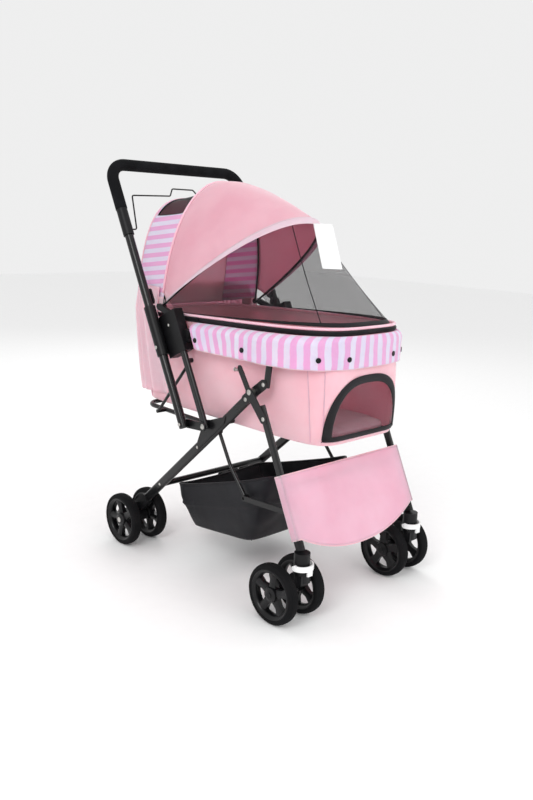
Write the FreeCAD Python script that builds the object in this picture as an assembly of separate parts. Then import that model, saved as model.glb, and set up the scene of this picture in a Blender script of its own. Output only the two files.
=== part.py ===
"""Folding pet stroller: side frames, fold linkage, reversible handle, casters and fabric cabin.

Millimetres.  X is across the stroller, -Y is its front, +Z is up.  The origin is on the floor,
under the middle of the whole stroller.  Side parts are made once, on +X, and mirrored.
"""
import FreeCAD, Part
import math
import os

V = FreeCAD.Vector

# ---------------------------------------------------------------- driving dimensions
WHEEL_D = 140.0
TYRE_W = 27.4
TYRE_DEPTH = 12.0
RIM_LIP = 7.0
HUB_R = 15.0
SPOKES = 5
SPOKE_W = 13.0
AXLE_R = 4.0
TRACK_X = 199.0            # centre of each wheel pair
PAIR_GAP = 57.0            # free space between the two wheels of a pair
FRONT_AXLE_Y = -312.0
REAR_AXLE_Y = 272.0
RUN_CLEAR = 0.05           # radial running clearance
PART_GAP = 0.5             # air between bodies that pass each other

LEG_T = 12.0               # flat-oval leg tube, across
LEG_D = 25.0               # flat-oval leg tube, in the side plane
FRONT_LEG_T = 11.0
FRONT_LEG_D = 20.0
TUBE_WALL = 1.4
PLATE_T = 2.0
REAR_LEG_X = 185.0

PIVOT = (-174.0, 499.0)              # main fold pivot (y, z)
REAR_LEG_FOOT = (280.0, 91.0)
FRONT_LEG_FOOT = (-355.0, 163.0)
FRONT_LEG_ANGLE = 64.9
FRONT_LEG_TOP_Z = 474.0
LOCK_ARM_TIP = (-141.0, 549.0)

HANDLE_X = 220.0
HANDLE_R = 11.0
HANDLE_FOOT = (41.5, 372.0)
HANDLE_CORNER = (367.0, 1005.0)
HANDLE_BEND = 48.0
GRIP_R = 15.0
GRIP_END_Z = 892.0
HANDLE_PIVOT = (-15.0, 385.0)
UPRIGHT_TOP_Z = 600.0
UPRIGHT_D = 20.0

BRACE_TOP = (-34.7, 373.1)           # on the rear leg
BRACE_KNEE = (-136.7, 229.5)
BRACE_FOOT = (-319.4, 238.9)         # on the front leg
BRACE_R = 5.0

TUB_YC = -9.0                        # cabin plan centre
TUB_L = 341.0                        # cabin half length
RIM_W = 165.0
RIM_Z = 641.0                        # rim height at y = 0
RIM_TILT = 0.03                      # the rim rises towards the front
TUB_BASE_W = 146.0
TUB_BASE_L = 336.0
TUB_BASE_Z = 390.0
RIM_POWER = 3.9                      # squareness of the plan outline
BASE_POWER = 7.0
FABRIC = 3.0
FLAP_W = 197.0
FLAP_L = 208.0             # from the flap's widest line to its front
FLAP_YC = -150.0           # the sides are straight behind this line
FLAP_POWER = 3.0
FLAP_LOW_Z = 567.0
FLAP_SHOULDER_Z = 612.0
FLAP_REAR_Y = 58.0

CANOPY_PIVOT = (205.0, 652.0)
REAR_BOW_TOP = (163.0, 964.0)
FRONT_BOW_TOP = (-128.0, 882.0)
REAR_BOW_W = 161.0
FRONT_BOW_W = 168.0
BOW_R = 3.0
ARCH_POWER = 2.3
HOOD_BACK_FOOT = (338.0, 640.0)
HOOD_BACK_TOP = (292.0, 925.0)
HOOD_BACK_W = 150.0

# ---------------------------------------------------------------- sizes that follow
WHEEL_R = WHEEL_D / 2
OUTER_WHEEL_X = TRACK_X + (PAIR_GAP + TYRE_W) / 2
INNER_WHEEL_X = TRACK_X - (PAIR_GAP + TYRE_W) / 2
LEG_OUT = REAR_LEG_X + LEG_T / 2                 # outer face of the rear leg
LEG_IN = REAR_LEG_X - LEG_T / 2
PLATE_OUT = LEG_OUT + PLATE_T                    # outer face of the rear plates
FRONT_LEG_IN = PLATE_OUT + PART_GAP
FRONT_LEG_X = FRONT_LEG_IN + FRONT_LEG_T / 2
FRONT_LEG_OUT = FRONT_LEG_IN + FRONT_LEG_T
LOCK_ARM_OUT = FRONT_LEG_OUT + PLATE_T
HANDLE_IN = HANDLE_X - HANDLE_R
BRACE_X = LEG_IN - 8.5                           # the upper brace hangs inside the rear leg
CASTER_X = TRACK_X
CASTER_Y = FRONT_LEG_FOOT[0]


def unit(a, b):
    length = math.hypot(b[0] - a[0], b[1] - a[1])
    return (b[0] - a[0]) / length, (b[1] - a[1]) / length


def along(a, b, distance):
    """Point at a distance from a towards b, in the side plane."""
    u = unit(a, b)
    return a[0] + u[0] * distance, a[1] + u[1] * distance


def shifted(a, b, distance):
    """The line a-b moved sideways, in the side plane."""
    u = unit(a, b)
    dy = -u[1] * distance
    dz = u[0] * distance
    return (a[0] + dy, a[1] + dz), (b[0] + dy, b[1] + dz)


REAR_LEG_END = along(REAR_LEG_FOOT, PIVOT, math.dist(REAR_LEG_FOOT, PIVOT) - 3.0)
FRONT_DIR = (math.cos(math.radians(FRONT_LEG_ANGLE)), math.sin(math.radians(FRONT_LEG_ANGLE)))
FRONT_LEG_TOP = (FRONT_LEG_FOOT[0] + (FRONT_LEG_TOP_Z - FRONT_LEG_FOOT[1]) / math.tan(
    math.radians(FRONT_LEG_ANGLE)), FRONT_LEG_TOP_Z)
HANDLE_DIR = unit(HANDLE_FOOT, HANDLE_CORNER)


def front_leg_at(z):
    return FRONT_LEG_FOOT[0] + (z - FRONT_LEG_FOOT[1]) * FRONT_DIR[0] / FRONT_DIR[1], z


def rear_leg_at(y):
    u = unit(REAR_LEG_FOOT, PIVOT)
    return y, REAR_LEG_FOOT[1] + (y - REAR_LEG_FOOT[0]) * u[1] / u[0]


def handle_at(z):
    return HANDLE_FOOT[0] + (z - HANDLE_FOOT[1]) * HANDLE_DIR[0] / HANDLE_DIR[1], z


def rim_z(y, z):
    return z - RIM_TILT * y


# ---------------------------------------------------------------- solid helpers
def cylinder(x0, x1, yz, r):
    """Cylinder along X."""
    return Part.makeCylinder(r, x1 - x0, V(x0, yz[0], yz[1]), V(1, 0, 0))


def post(x, y, z0, z1, r):
    """Cylinder along Z."""
    return Part.makeCylinder(r, z1 - z0, V(x, y, z0), V(0, 0, 1))


def block(x0, x1, y0, y1, z0, z1):
    return Part.makeBox(x1 - x0, y1 - y0, z1 - z0, V(x0, y0, z0))


def flip(shape):
    return shape.mirror(V(0, 0, 0), V(1, 0, 0))


def both(*shapes):
    """The given right-hand solids with their left-hand copies."""
    solids = list(shapes)
    for shape in shapes:
        solids.append(flip(shape))
    return Part.makeCompound(solids)


def stadium(centre, axis, across, depth_dir, thick, depth):
    """Flat-oval wire: flat faces a distance thick apart, rounded over its depth."""
    half = depth / 2 - thick / 2
    a = depth_dir * half
    b = across * (thick / 2)
    tip = depth_dir * (depth / 2)
    edges = [
        Part.LineSegment(centre - a + b, centre + a + b).toShape(),
        Part.Arc(centre + a + b, centre + tip, centre + a - b).toShape(),
        Part.LineSegment(centre + a - b, centre - a - b).toShape(),
        Part.Arc(centre - a - b, centre - tip, centre - a + b).toShape(),
    ]
    return Part.Wire(edges)


def rounded_path(points, bend):
    """Straight runs through the points, joined by tangent arcs of one radius."""
    edges = []
    start = points[0]
    for i in range(1, len(points) - 1):
        u = (points[i] - points[i - 1]).normalize()
        w = (points[i + 1] - points[i]).normalize()
        turn = u.getAngle(w)
        cut = bend * math.tan(turn / 2)
        a = points[i] - u * cut
        b = points[i] + w * cut
        bisector = (w - u).normalize()
        centre = points[i] + bisector * (bend / math.cos(turn / 2))
        edges.append(Part.LineSegment(start, a).toShape())
        edges.append(Part.Arc(a, centre - bisector * bend, b).toShape())
        start = b
    edges.append(Part.LineSegment(start, points[-1]).toShape())
    return Part.Wire(edges)


def rod(points, bend, r):
    path = rounded_path(points, bend)
    heading = (points[1] - points[0]).normalize()
    ring = Part.Wire(Part.Circle(points[0], heading, r).toShape())
    return path.makePipeShell([ring], True, False)


def tube(points, bend, r, wall=TUBE_WALL):
    return rod(points, bend, r).cut(rod(points, bend, r - wall))


def oval_sweep(points, bend, thick, depth):
    path = rounded_path(points, bend)
    heading = (points[1] - points[0]).normalize()
    ring = stadium(points[0], heading, V(1, 0, 0), heading.cross(V(1, 0, 0)), thick, depth)
    return path.makePipeShell([ring], True, False)


def oval_tube(points, bend, thick, depth, wall=TUBE_WALL):
    """Flat-oval tube in a side plane."""
    inner = oval_sweep(points, bend, thick - 2 * wall, depth - 2 * wall)
    return oval_sweep(points, bend, thick, depth).cut(inner)


def side(x, *points):
    return [V(x, y, z) for y, z in points]


def link(x0, x1, a, b, width):
    """Flat bar with round ends, in a side plane."""
    u = unit(a, b)
    dy, dz = -u[1] * width / 2, u[0] * width / 2
    tip_a = V(x0, a[0] - u[0] * width / 2, a[1] - u[1] * width / 2)
    tip_b = V(x0, b[0] + u[0] * width / 2, b[1] + u[1] * width / 2)
    p = [V(x0, a[0] + dy, a[1] + dz), V(x0, b[0] + dy, b[1] + dz),
         V(x0, b[0] - dy, b[1] - dz), V(x0, a[0] - dy, a[1] - dz)]
    edges = [Part.LineSegment(p[0], p[1]).toShape(), Part.Arc(p[1], tip_b, p[2]).toShape(),
             Part.LineSegment(p[2], p[3]).toShape(), Part.Arc(p[3], tip_a, p[0]).toShape()]
    return Part.Face(Part.Wire(edges)).extrude(V(x1 - x0, 0, 0))


def slab(x0, x1, *points):
    """Polygon in a side plane, extruded across."""
    ring = side(x0, *points)
    return Part.Face(Part.makePolygon(ring + ring[:1])).extrude(V(x1 - x0, 0, 0))


def dome(x, yz, r, height):
    """Rivet head standing on a face at x."""
    head = Part.makeSphere((r * r + height * height) / (2 * height))
    head.translate(V(x + height - (r * r + height * height) / (2 * height), yz[0], yz[1]))
    return head.common(cylinder(x, x + height + 1, yz, r + 1))


def outline(width, length, power, z, tilt=RIM_TILT, yc=TUB_YC, count=48):
    """Closed plan outline with rounded corners, level across and tilted along."""
    points = []
    for i in range(count):
        t = 2 * math.pi * i / count
        c, s = math.cos(t), math.sin(t)
        x = width * math.copysign(abs(c) ** (2 / power), c)
        y = yc + length * math.copysign(abs(s) ** (2 / power), s)
        points.append(V(x, y, z - tilt * y))
    curve = Part.BSplineCurve()
    curve.interpolate(points, PeriodicFlag=True)
    return Part.Wire(curve.toShape())


def tub_solid(grow, z_low, z_high):
    """The cabin's tapering body between two heights, grown outwards by a distance."""
    rings = []
    for z in (z_low, z_high):
        share = (z - TUB_BASE_Z) / (RIM_Z - TUB_BASE_Z)
        width = TUB_BASE_W + (RIM_W - TUB_BASE_W) * share + grow
        length = TUB_BASE_L + (TUB_L - TUB_BASE_L) * share + grow
        power = BASE_POWER + (RIM_POWER - BASE_POWER) * share
        rings.append(outline(width, length, power, z, RIM_TILT * max(0.0, min(1.0, share))))
    return Part.makeLoft(rings, True, True)


def arch_points(foot, top, width, power=ARCH_POWER, start=0.0, count=15):
    """Points over an arch that stands on foot and rises to top, in its own tilted plane."""
    height = math.dist(foot, top)
    u = unit(foot, top)
    points = []
    first = math.asin((start / height) ** (power / 2)) if start > 0 else 0.0
    for i in range(count):
        t = first + (math.pi - 2 * first) * i / (count - 1)
        c, s = math.cos(t), math.sin(t)
        x = width * math.copysign(abs(c) ** (2 / power), c)
        h = height * abs(s) ** (2 / power)
        points.append(V(x, foot[0] + u[0] * h, foot[1] + u[1] * h))
    return points


def arch_wire(foot, top, width, grow, start, power=ARCH_POWER):
    """Closed arch: the curve, grown by a distance, and the straight line across its feet."""
    u = unit(foot, top)
    peak = (top[0] + u[0] * grow, top[1] + u[1] * grow)
    points = arch_points(foot, peak, width + grow, power, start)
    curve = Part.BSplineCurve()
    curve.interpolate(points)
    return Part.Wire([curve.toShape(), Part.LineSegment(points[-1], points[0]).toShape()])


def bow_rod(foot, top, width, start):
    points = arch_points(foot, top, width, start=start)
    curve = Part.BSplineCurve()
    curve.interpolate(points)
    path = Part.Wire(curve.toShape())
    ring = Part.Wire(Part.Circle(points[0], points[1] - points[0], BOW_R).toShape())
    return path.makePipeShell([ring], True, True)


# ---------------------------------------------------------------- wheels and casters
def wheel(x, y):
    """Moulded five-spoke rim with its tyre; two solids that turn together."""
    rim_r = WHEEL_R - TYRE_DEPTH
    half = TYRE_W / 2
    crown = 6.0
    profile = Part.makePolygon([V(-half, rim_r, 0), V(half, rim_r, 0), V(half, WHEEL_R - crown, 0),
                                V(half - crown, WHEEL_R, 0), V(crown - half, WHEEL_R, 0),
                                V(-half, WHEEL_R - crown, 0), V(-half, rim_r, 0)])
    tyre = Part.Face(profile).revolve(V(0, 0, 0), V(1, 0, 0), 360)
    barrel = cylinder(-half + 2, half - 2, (0, 0), rim_r)
    barrel = barrel.cut(cylinder(-half, half, (0, 0), rim_r - RIM_LIP))
    hub = cylinder(-half, half, (0, 0), HUB_R)
    rim = barrel.fuse(hub)
    for i in range(SPOKES):
        spoke = block(-5, 5, -SPOKE_W / 2, SPOKE_W / 2, HUB_R - 2, rim_r - RIM_LIP + 2)
        spoke.rotate(V(0, 0, 0), V(1, 0, 0), 360.0 * i / SPOKES)
        rim = rim.fuse(spoke)
    rim = rim.cut(cylinder(-half - 1, half + 1, (0, 0), AXLE_R + RUN_CLEAR))
    pair = Part.makeCompound([rim, tyre])
    pair.translate(V(x, y, WHEEL_R))
    return pair


def axle(y):
    """Plain axle through both wheels of a pair, with a round cap at each end."""
    half = OUTER_WHEEL_X - TRACK_X + TYRE_W / 2
    spindle = cylinder(TRACK_X - half, TRACK_X + half, (y, WHEEL_R), AXLE_R)
    cap = 1.0
    out = cylinder(TRACK_X + half, TRACK_X + half + cap, (y, WHEEL_R), 7.0)
    inn = cylinder(TRACK_X - half - cap, TRACK_X - half, (y, WHEEL_R), 7.0)
    return spindle.fuse([out, inn])


FORK_HALF = PAIR_GAP / 2 - 2.5
STEM_R = 6.0
BARREL_R = 18.0
BARREL_LOW = 122.0
BARREL_HIGH = 172.0
FORK_TOP = BARREL_LOW - PART_GAP


def caster_fork():
    """Swivelling body between the front wheels of a pair, with its vertical stem."""
    axle_at = (FRONT_AXLE_Y, WHEEL_R)
    x0, x1 = TRACK_X - FORK_HALF, TRACK_X + FORK_HALF
    hub = cylinder(x0, x1, axle_at, 15.0)
    arm = slab(TRACK_X - 15, TRACK_X + 15, (CASTER_Y - 14, FORK_TOP), (CASTER_Y + 17, FORK_TOP),
               (FRONT_AXLE_Y + 13, WHEEL_R + 8), (FRONT_AXLE_Y - 4, WHEEL_R - 13),
               (FRONT_AXLE_Y - 24, WHEEL_R + 6), (CASTER_Y - 14, FORK_TOP - 22))
    head = post(CASTER_X, CASTER_Y, FORK_TOP - 18, FORK_TOP, BARREL_R - 1)
    stem = post(CASTER_X, CASTER_Y, FORK_TOP - 10, BARREL_HIGH - 14, STEM_R)
    body = hub.fuse([arm, head, stem])
    return body.cut(cylinder(x0 - 1, x1 + 1, axle_at, AXLE_R))


def caster_socket():
    """Moulded foot that closes the front leg and carries the caster's stem."""
    barrel = post(CASTER_X, CASTER_Y, BARREL_LOW, BARREL_HIGH, BARREL_R)
    foot = along(FRONT_LEG_FOOT, FRONT_LEG_TOP, 12.0)
    sleeve_end = along(FRONT_LEG_FOOT, FRONT_LEG_TOP, 40.0)
    sleeve = oval_sweep(side(FRONT_LEG_X, foot, sleeve_end), 1, FRONT_LEG_T + 4, FRONT_LEG_D + 4)
    leg = oval_sweep(side(FRONT_LEG_X, along(foot, sleeve_end, 8.0), along(foot, sleeve_end, 60.0)),
                     1, FRONT_LEG_T, FRONT_LEG_D)
    body = barrel.fuse(sleeve).cut(leg)
    inner = block(0, PLATE_OUT + PART_GAP - 0.01, -600, 0, BARREL_HIGH, 400)
    body = body.cut(inner)
    stem_hole = post(CASTER_X, CASTER_Y, BARREL_LOW - 1, BARREL_HIGH - 13, STEM_R + RUN_CLEAR)
    return body.cut(stem_hole)


LEVER_IN = 23.5
LEVER_OUT = 27.0
LEVER_Z = 141.0


def lock_lever(x):
    """Curved band round the front of the caster barrel, with a tab to press."""
    band = post(x, CASTER_Y, LEVER_Z - 6, LEVER_Z + 6, LEVER_OUT)
    band = band.cut(post(x, CASTER_Y, LEVER_Z - 7, LEVER_Z + 7, LEVER_IN))
    band = band.common(block(x - 30, x + 30, CASTER_Y - 30, CASTER_Y, 0, 300))
    tab = block(x - 7, x + 7, CASTER_Y - LEVER_OUT, CASTER_Y - LEVER_OUT + 4.5,
                LEVER_Z - 17, LEVER_Z - 4)
    tab = tab.cut(post(x, CASTER_Y, 0, 300, LEVER_IN))
    ears = [cylinder(x + BARREL_R + PART_GAP, x + LEVER_OUT, (CASTER_Y, LEVER_Z), 5.0),
            cylinder(x - LEVER_OUT, x - BARREL_R - PART_GAP, (CASTER_Y, LEVER_Z), 5.0)]
    return band.fuse([tab] + ears)


# ---------------------------------------------------------------- rear frame
def rear_leg():
    return oval_tube(side(REAR_LEG_X, REAR_LEG_FOOT, REAR_LEG_END), 1, LEG_T, LEG_D)


HUB_HOUSING_R = 17.0


def rear_hub():
    """Moulded housing at the foot of the rear leg, round the axle."""
    axle_at = (REAR_AXLE_Y, WHEEL_R)
    half = PAIR_GAP / 2 - 2.5
    hub = cylinder(TRACK_X - half, TRACK_X + half, axle_at, HUB_HOUSING_R)
    foot = along(REAR_LEG_FOOT, PIVOT, -6.0)
    sleeve_end = along(REAR_LEG_FOOT, PIVOT, 44.0)
    x0 = LEG_IN - 3.5
    sleeve = link(x0, LEG_OUT + 3.5, foot, sleeve_end, LEG_D + 7)
    web = slab(x0, TRACK_X + 8, (REAR_AXLE_Y - 13, WHEEL_R), (REAR_AXLE_Y + 14, WHEEL_R + 6),
               (foot[0] + 14, foot[1] + 8), (foot[0] - 12, foot[1] + 20))
    leg = oval_sweep(side(REAR_LEG_X, REAR_LEG_FOOT, PIVOT), 1, LEG_T, LEG_D)
    body = hub.fuse([sleeve, web]).cut(leg)
    return body.cut(cylinder(150, 250, axle_at, AXLE_R))


CROSSBAR = rear_leg_at(178.0)
CROSSBAR_R = 8.0


def rear_crossbar():
    return tube([V(-LEG_IN, *CROSSBAR), V(LEG_IN, *CROSSBAR)], 1, CROSSBAR_R)


ARM_T = 12.0
ARM_D = 16.0
ARM_FOOT = (-209.0, 514.0)
ARM_ELBOW = (-218.0, 589.0)
ARM_REAR = (112.0, 596.0)
ARM_BEND = 26.0


def armrest():
    """Bent flat-oval tube: up from the pivot plate, then back along the cabin."""
    route = side(REAR_LEG_X, ARM_FOOT, ARM_ELBOW, ARM_REAR)
    return oval_tube(route, ARM_BEND, ARM_T, ARM_D)


REAR_RIVET = rear_leg_at(-148.0)
ARM_RIVET = (-205.0, 520.0)


def rear_plate():
    """Plate that joins the rear leg to the foot of the armrest, with the fold pin's hole."""
    plate = link(LEG_OUT, PLATE_OUT, REAR_RIVET, ARM_RIVET, 24)
    return plate.cut(cylinder(LEG_OUT - 1, PLATE_OUT + 1, PIVOT, FOLD_PIN_R))


FOLD_PIN_R = 5.0


def fold_pin():
    """Stepped pin and spacer that the front leg folds about."""
    pin = cylinder(LEG_OUT, LOCK_ARM_OUT + PART_GAP, PIVOT, FOLD_PIN_R)
    spacer = cylinder(PLATE_OUT, FRONT_LEG_OUT - PART_GAP, PIVOT, FOLD_PIN_R + 3)
    head = dome(LOCK_ARM_OUT + PART_GAP, PIVOT, 6.5, 2.5)
    return pin.fuse([spacer, head])


UPRIGHT_TOP = (HANDLE_PIVOT[0] + (UPRIGHT_TOP_Z - HANDLE_PIVOT[1]) * HANDLE_DIR[0] / HANDLE_DIR[1],
               UPRIGHT_TOP_Z)
UPRIGHT_X = PLATE_OUT + LEG_T / 2


def upright():
    """Fixed tube from the rear leg up to the latch housing, parallel to the handle."""
    foot = along(HANDLE_PIVOT, UPRIGHT_TOP, -6.0)
    body = oval_tube(side(UPRIGHT_X, foot, UPRIGHT_TOP), 1, LEG_T, UPRIGHT_D)
    return body.cut(cylinder(PLATE_OUT - 1, PLATE_OUT + LEG_T + 1, HANDLE_PIVOT, HANDLE_PIN_R))


HANDLE_PIN_R = 4.0
FOOT_PLATE_IN = PLATE_OUT + LEG_T + PART_GAP
FOOT_PLATE_OUT = HANDLE_IN


def gusset():
    """Plate on the rear leg that carries the handle pivot and the upright."""
    low = rear_leg_at(HANDLE_PIVOT[0] + 34)
    high = rear_leg_at(HANDLE_PIVOT[0] - 62)
    plate = slab(LEG_OUT, PLATE_OUT, (low[0], low[1] - 8), (low[0] + 2, low[1] + 12),
                 (HANDLE_PIVOT[0] + 12, HANDLE_PIVOT[1] + 13),
                 (HANDLE_PIVOT[0] - 10, HANDLE_PIVOT[1] + 17), (high[0] - 4, high[1] + 10),
                 (high[0], high[1] - 8))
    return plate.cut(cylinder(LEG_OUT - 1, PLATE_OUT + 1, HANDLE_PIVOT, HANDLE_PIN_R))


def handle_pin():
    pin = cylinder(LEG_OUT, FOOT_PLATE_OUT, HANDLE_PIVOT, HANDLE_PIN_R)
    return pin.fuse(dome(FOOT_PLATE_OUT, HANDLE_PIVOT, 7.0, 2.5))


HOUSING_LOW = 556.0
HOUSING_HIGH = 652.0
HOUSING_IN = LEG_IN
HOUSING_OUT = FOOT_PLATE_IN
HOUSING_FRONT = 16.0       # ahead of the upright's centre line
HOUSING_BACK = 52.0        # behind it


def latch_housing():
    """Moulded block that joins the armrest and the upright beside the handle tube."""
    low = (HANDLE_PIVOT[0] + (HOUSING_LOW - HANDLE_PIVOT[1]) * HANDLE_DIR[0] / HANDLE_DIR[1], HOUSING_LOW)
    high = (low[0] + (HOUSING_HIGH - HOUSING_LOW) * HANDLE_DIR[0] / HANDLE_DIR[1], HOUSING_HIGH)
    front = shifted(low, high, HOUSING_FRONT)
    back = shifted(low, high, -HOUSING_BACK)
    body = slab(HOUSING_IN, HOUSING_OUT, front[0], front[1], back[1], back[0])
    start = FLAP_REAR_Y + 3
    ears = slab(HOUSING_IN, HOUSING_OUT, (start, ARM_REAR[1] - 13), (start, ARM_REAR[1] + 12),
                (ARM_REAR[0] + 5, ARM_REAR[1] + 18), (ARM_REAR[0] - 5, ARM_REAR[1] - 26))
    ears = ears.common(block(HOUSING_IN, REAR_LEG_X + ARM_T / 2 + 3, -200, 400, 400, 800))
    body = body.fuse(ears)
    body = body.cut(oval_sweep(side(REAR_LEG_X, ARM_FOOT, ARM_ELBOW, ARM_REAR), ARM_BEND, ARM_T, ARM_D))
    return body.cut(oval_sweep(side(UPRIGHT_X, HANDLE_PIVOT, UPRIGHT_TOP), 1, LEG_T, UPRIGHT_D))


LOOP_Z = 377.0
LOOP_BACK_Y = 285.0
LOOP_R = 6.0
LOOP_X = BRACE_X - BRACE_R - LOOP_R - 1.5
LOOP_START = rear_leg_at(-70.0)


def seat_loop():
    """Tube under the cabin floor: back from one rear leg, round, and forward to the other."""
    points = [V(LOOP_X, *LOOP_START), V(LOOP_X, LOOP_START[0] + 80, LOOP_Z),
              V(LOOP_X, LOOP_BACK_Y, LOOP_Z + 4), V(-LOOP_X, LOOP_BACK_Y, LOOP_Z + 4),
              V(-LOOP_X, LOOP_START[0] + 80, LOOP_Z), V(-LOOP_X, *LOOP_START)]
    stub = cylinder(LOOP_X, LEG_IN, LOOP_START, LOOP_R + 1)
    return tube(points, 40.0, LOOP_R).fuse([stub, flip(stub)])


def loop_stay():
    """Thin strut from the rear of the loop up to the upright."""
    foot_at = (LOOP_BACK_Y - 92, LOOP_Z + 3)
    top = along(HANDLE_PIVOT, UPRIGHT_TOP, 168.0)
    stay = rod([V(REAR_LEG_X, *foot_at), V(REAR_LEG_X, *top)], 1, 4.0)
    foot = cylinder(LOOP_X + LOOP_R - 1, REAR_LEG_X + 4, foot_at, 5.0)
    ear = cylinder(REAR_LEG_X - 4, PLATE_OUT, top, 6.0)
    return stay.fuse([foot, ear])


# ---------------------------------------------------------------- front frame
def front_leg():
    foot = along(FRONT_LEG_FOOT, FRONT_LEG_TOP, 20.0)
    leg = oval_tube(side(FRONT_LEG_X, foot, FRONT_LEG_TOP), 1, FRONT_LEG_T, FRONT_LEG_D)
    return leg


FRONT_BAR = front_leg_at(302.0)
FRONT_BAR_R = 7.0


def front_crossbar():
    return tube([V(-FRONT_LEG_IN, *FRONT_BAR), V(FRONT_LEG_IN, *FRONT_BAR)], 1, FRONT_BAR_R)


LOCK_LOW = front_leg_at(446.0)


def lock_arm():
    """Plate on the front leg: the fold pin's eye, and the arm that holds the reversed handle."""
    lower = link(FRONT_LEG_OUT, LOCK_ARM_OUT, LOCK_LOW, PIVOT, 22)
    upper = link(FRONT_LEG_OUT, LOCK_ARM_OUT, PIVOT, LOCK_ARM_TIP, 15)
    plate = lower.fuse(upper)
    return plate.cut(cylinder(FRONT_LEG_OUT - 1, LOCK_ARM_OUT + 1, PIVOT, FOLD_PIN_R + RUN_CLEAR))


def lock_stud():
    """Mushroom-headed stud at the tip of the lock arm, pointing back."""
    x = FRONT_LEG_OUT + PLATE_T / 2
    start = V(x, LOCK_ARM_TIP[0] + 7.4, LOCK_ARM_TIP[1] - 6)
    neck = Part.makeCylinder(2.5, 7.0, start, V(0, 1, 0.15))
    head = Part.makeCylinder(5.0, 3.0, start + V(0, 7.0, 1.0), V(0, 1, 0.15))
    return neck.fuse(head)


PANEL_TOP = 326.0
PANEL_CORNER = 196.0
PANEL_MIDDLE = 150.0
PANEL_STAND = FRONT_LEG_D / 2 + 2.5
PANEL_T = 2.5
PANEL_X = LOCK_ARM_OUT + 4.0


def front_panel():
    """Fabric apron wrapped round the front legs, its lower edge curved."""
    top = front_leg_at(PANEL_TOP)
    low = front_leg_at(PANEL_MIDDLE - 20)
    front = shifted(low, top, PANEL_STAND)
    outer = shifted(low, top, PANEL_STAND + PANEL_T)
    back = shifted(low, top, -PANEL_STAND)
    sheet = slab(-PANEL_X, PANEL_X, front[0], front[1], outer[1], outer[0])
    wing = slab(PANEL_X - PANEL_T, PANEL_X, back[0], back[1], outer[1], outer[0])
    body = sheet.fuse([wing, flip(wing)])
    edge = Part.Arc(V(-PANEL_X - 9, -600, PANEL_CORNER), V(0, -600, PANEL_MIDDLE),
                    V(PANEL_X + 9, -600, PANEL_CORNER)).toShape()
    sides = Part.makePolygon([V(PANEL_X + 9, -600, PANEL_CORNER), V(PANEL_X + 9, -600, 0),
                              V(-PANEL_X - 9, -600, 0), V(-PANEL_X - 9, -600, PANEL_CORNER)])
    cutter = Part.Face(Part.Wire([edge] + sides.Edges)).extrude(V(0, 600, 0))
    return body.cut(cutter)


# ---------------------------------------------------------------- toggle brace
BRACE_PIN_R = 3.0
BAR_IN = BRACE_X + BRACE_R + 0.4
BAR_T = 2.5


def upper_brace():
    """Curved rod from the rear leg down to the knee, with a flat eye at each end."""
    bow_out = shifted(BRACE_TOP, BRACE_KNEE, 9.0)
    middle = ((bow_out[0][0] + bow_out[1][0]) / 2, (bow_out[0][1] + bow_out[1][1]) / 2)
    bar = rod(side(BRACE_X, BRACE_TOP, middle, BRACE_KNEE), 160.0, BRACE_R - 0.6)
    for end in (BRACE_TOP, BRACE_KNEE):
        bar = bar.fuse(cylinder(BRACE_X - BRACE_R, BRACE_X + BRACE_R, end, 8.0))
    for end in (BRACE_TOP, BRACE_KNEE):
        bar = bar.cut(cylinder(BRACE_X - 9, BRACE_X + 9, end, BRACE_PIN_R + RUN_CLEAR))
    return bar


def lower_brace():
    """Flat bar from the knee to the front leg; its knee hole is a slot's width larger."""
    bar = link(BAR_IN, BAR_IN + BAR_T, BRACE_KNEE, BRACE_FOOT, 13)
    bar = bar.cut(cylinder(BAR_IN - 1, BAR_IN + BAR_T + 1, BRACE_KNEE, BRACE_PIN_R + 0.6))
    return bar.cut(cylinder(BAR_IN - 1, BAR_IN + BAR_T + 1, BRACE_FOOT, BRACE_PIN_R + RUN_CLEAR))


def knee_pin():
    """Rivet in the upper brace that stops short of the lower bar's hole edge."""
    return cylinder(BRACE_X - BRACE_R, BRACE_X + BRACE_R, BRACE_KNEE, BRACE_PIN_R + RUN_CLEAR)


def brace_top_pin():
    pin = cylinder(BRACE_X - BRACE_R - 1, LEG_IN, BRACE_TOP, BRACE_PIN_R)
    return pin.fuse(cylinder(BRACE_X - BRACE_R - 2.5, BRACE_X - BRACE_R - PART_GAP, BRACE_TOP, 5.5))


def brace_foot_pin():
    pin = cylinder(BAR_IN - 2.5, FRONT_LEG_IN, BRACE_FOOT, BRACE_PIN_R)
    shoulder = cylinder(BAR_IN + BAR_T + PART_GAP, FRONT_LEG_IN, BRACE_FOOT, 5.5)
    return pin.fuse([shoulder, cylinder(BAR_IN - 2.5, BAR_IN - PART_GAP, BRACE_FOOT, 5.5)])


# ---------------------------------------------------------------- handle
def handle_route():
    return [V(HANDLE_X, *HANDLE_FOOT), V(HANDLE_X, *HANDLE_CORNER),
            V(-HANDLE_X, *HANDLE_CORNER), V(-HANDLE_X, *HANDLE_FOOT)]


def handle_tube():
    return tube(handle_route(), HANDLE_BEND, HANDLE_R)


def foam_grip():
    end = handle_at(GRIP_END_Z)
    route = [V(HANDLE_X, *end), V(HANDLE_X, *HANDLE_CORNER),
             V(-HANDLE_X, *HANDLE_CORNER), V(-HANDLE_X, *end)]
    return rod(route, HANDLE_BEND, GRIP_R).cut(rod(route, HANDLE_BEND, HANDLE_R))


WIRE_Z = 843.0
WIRE_R = 2.0
WIRE_TRAVEL = 12.0
COLLAR_R = 14.0
COLLAR_LOW = 828.0


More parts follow.
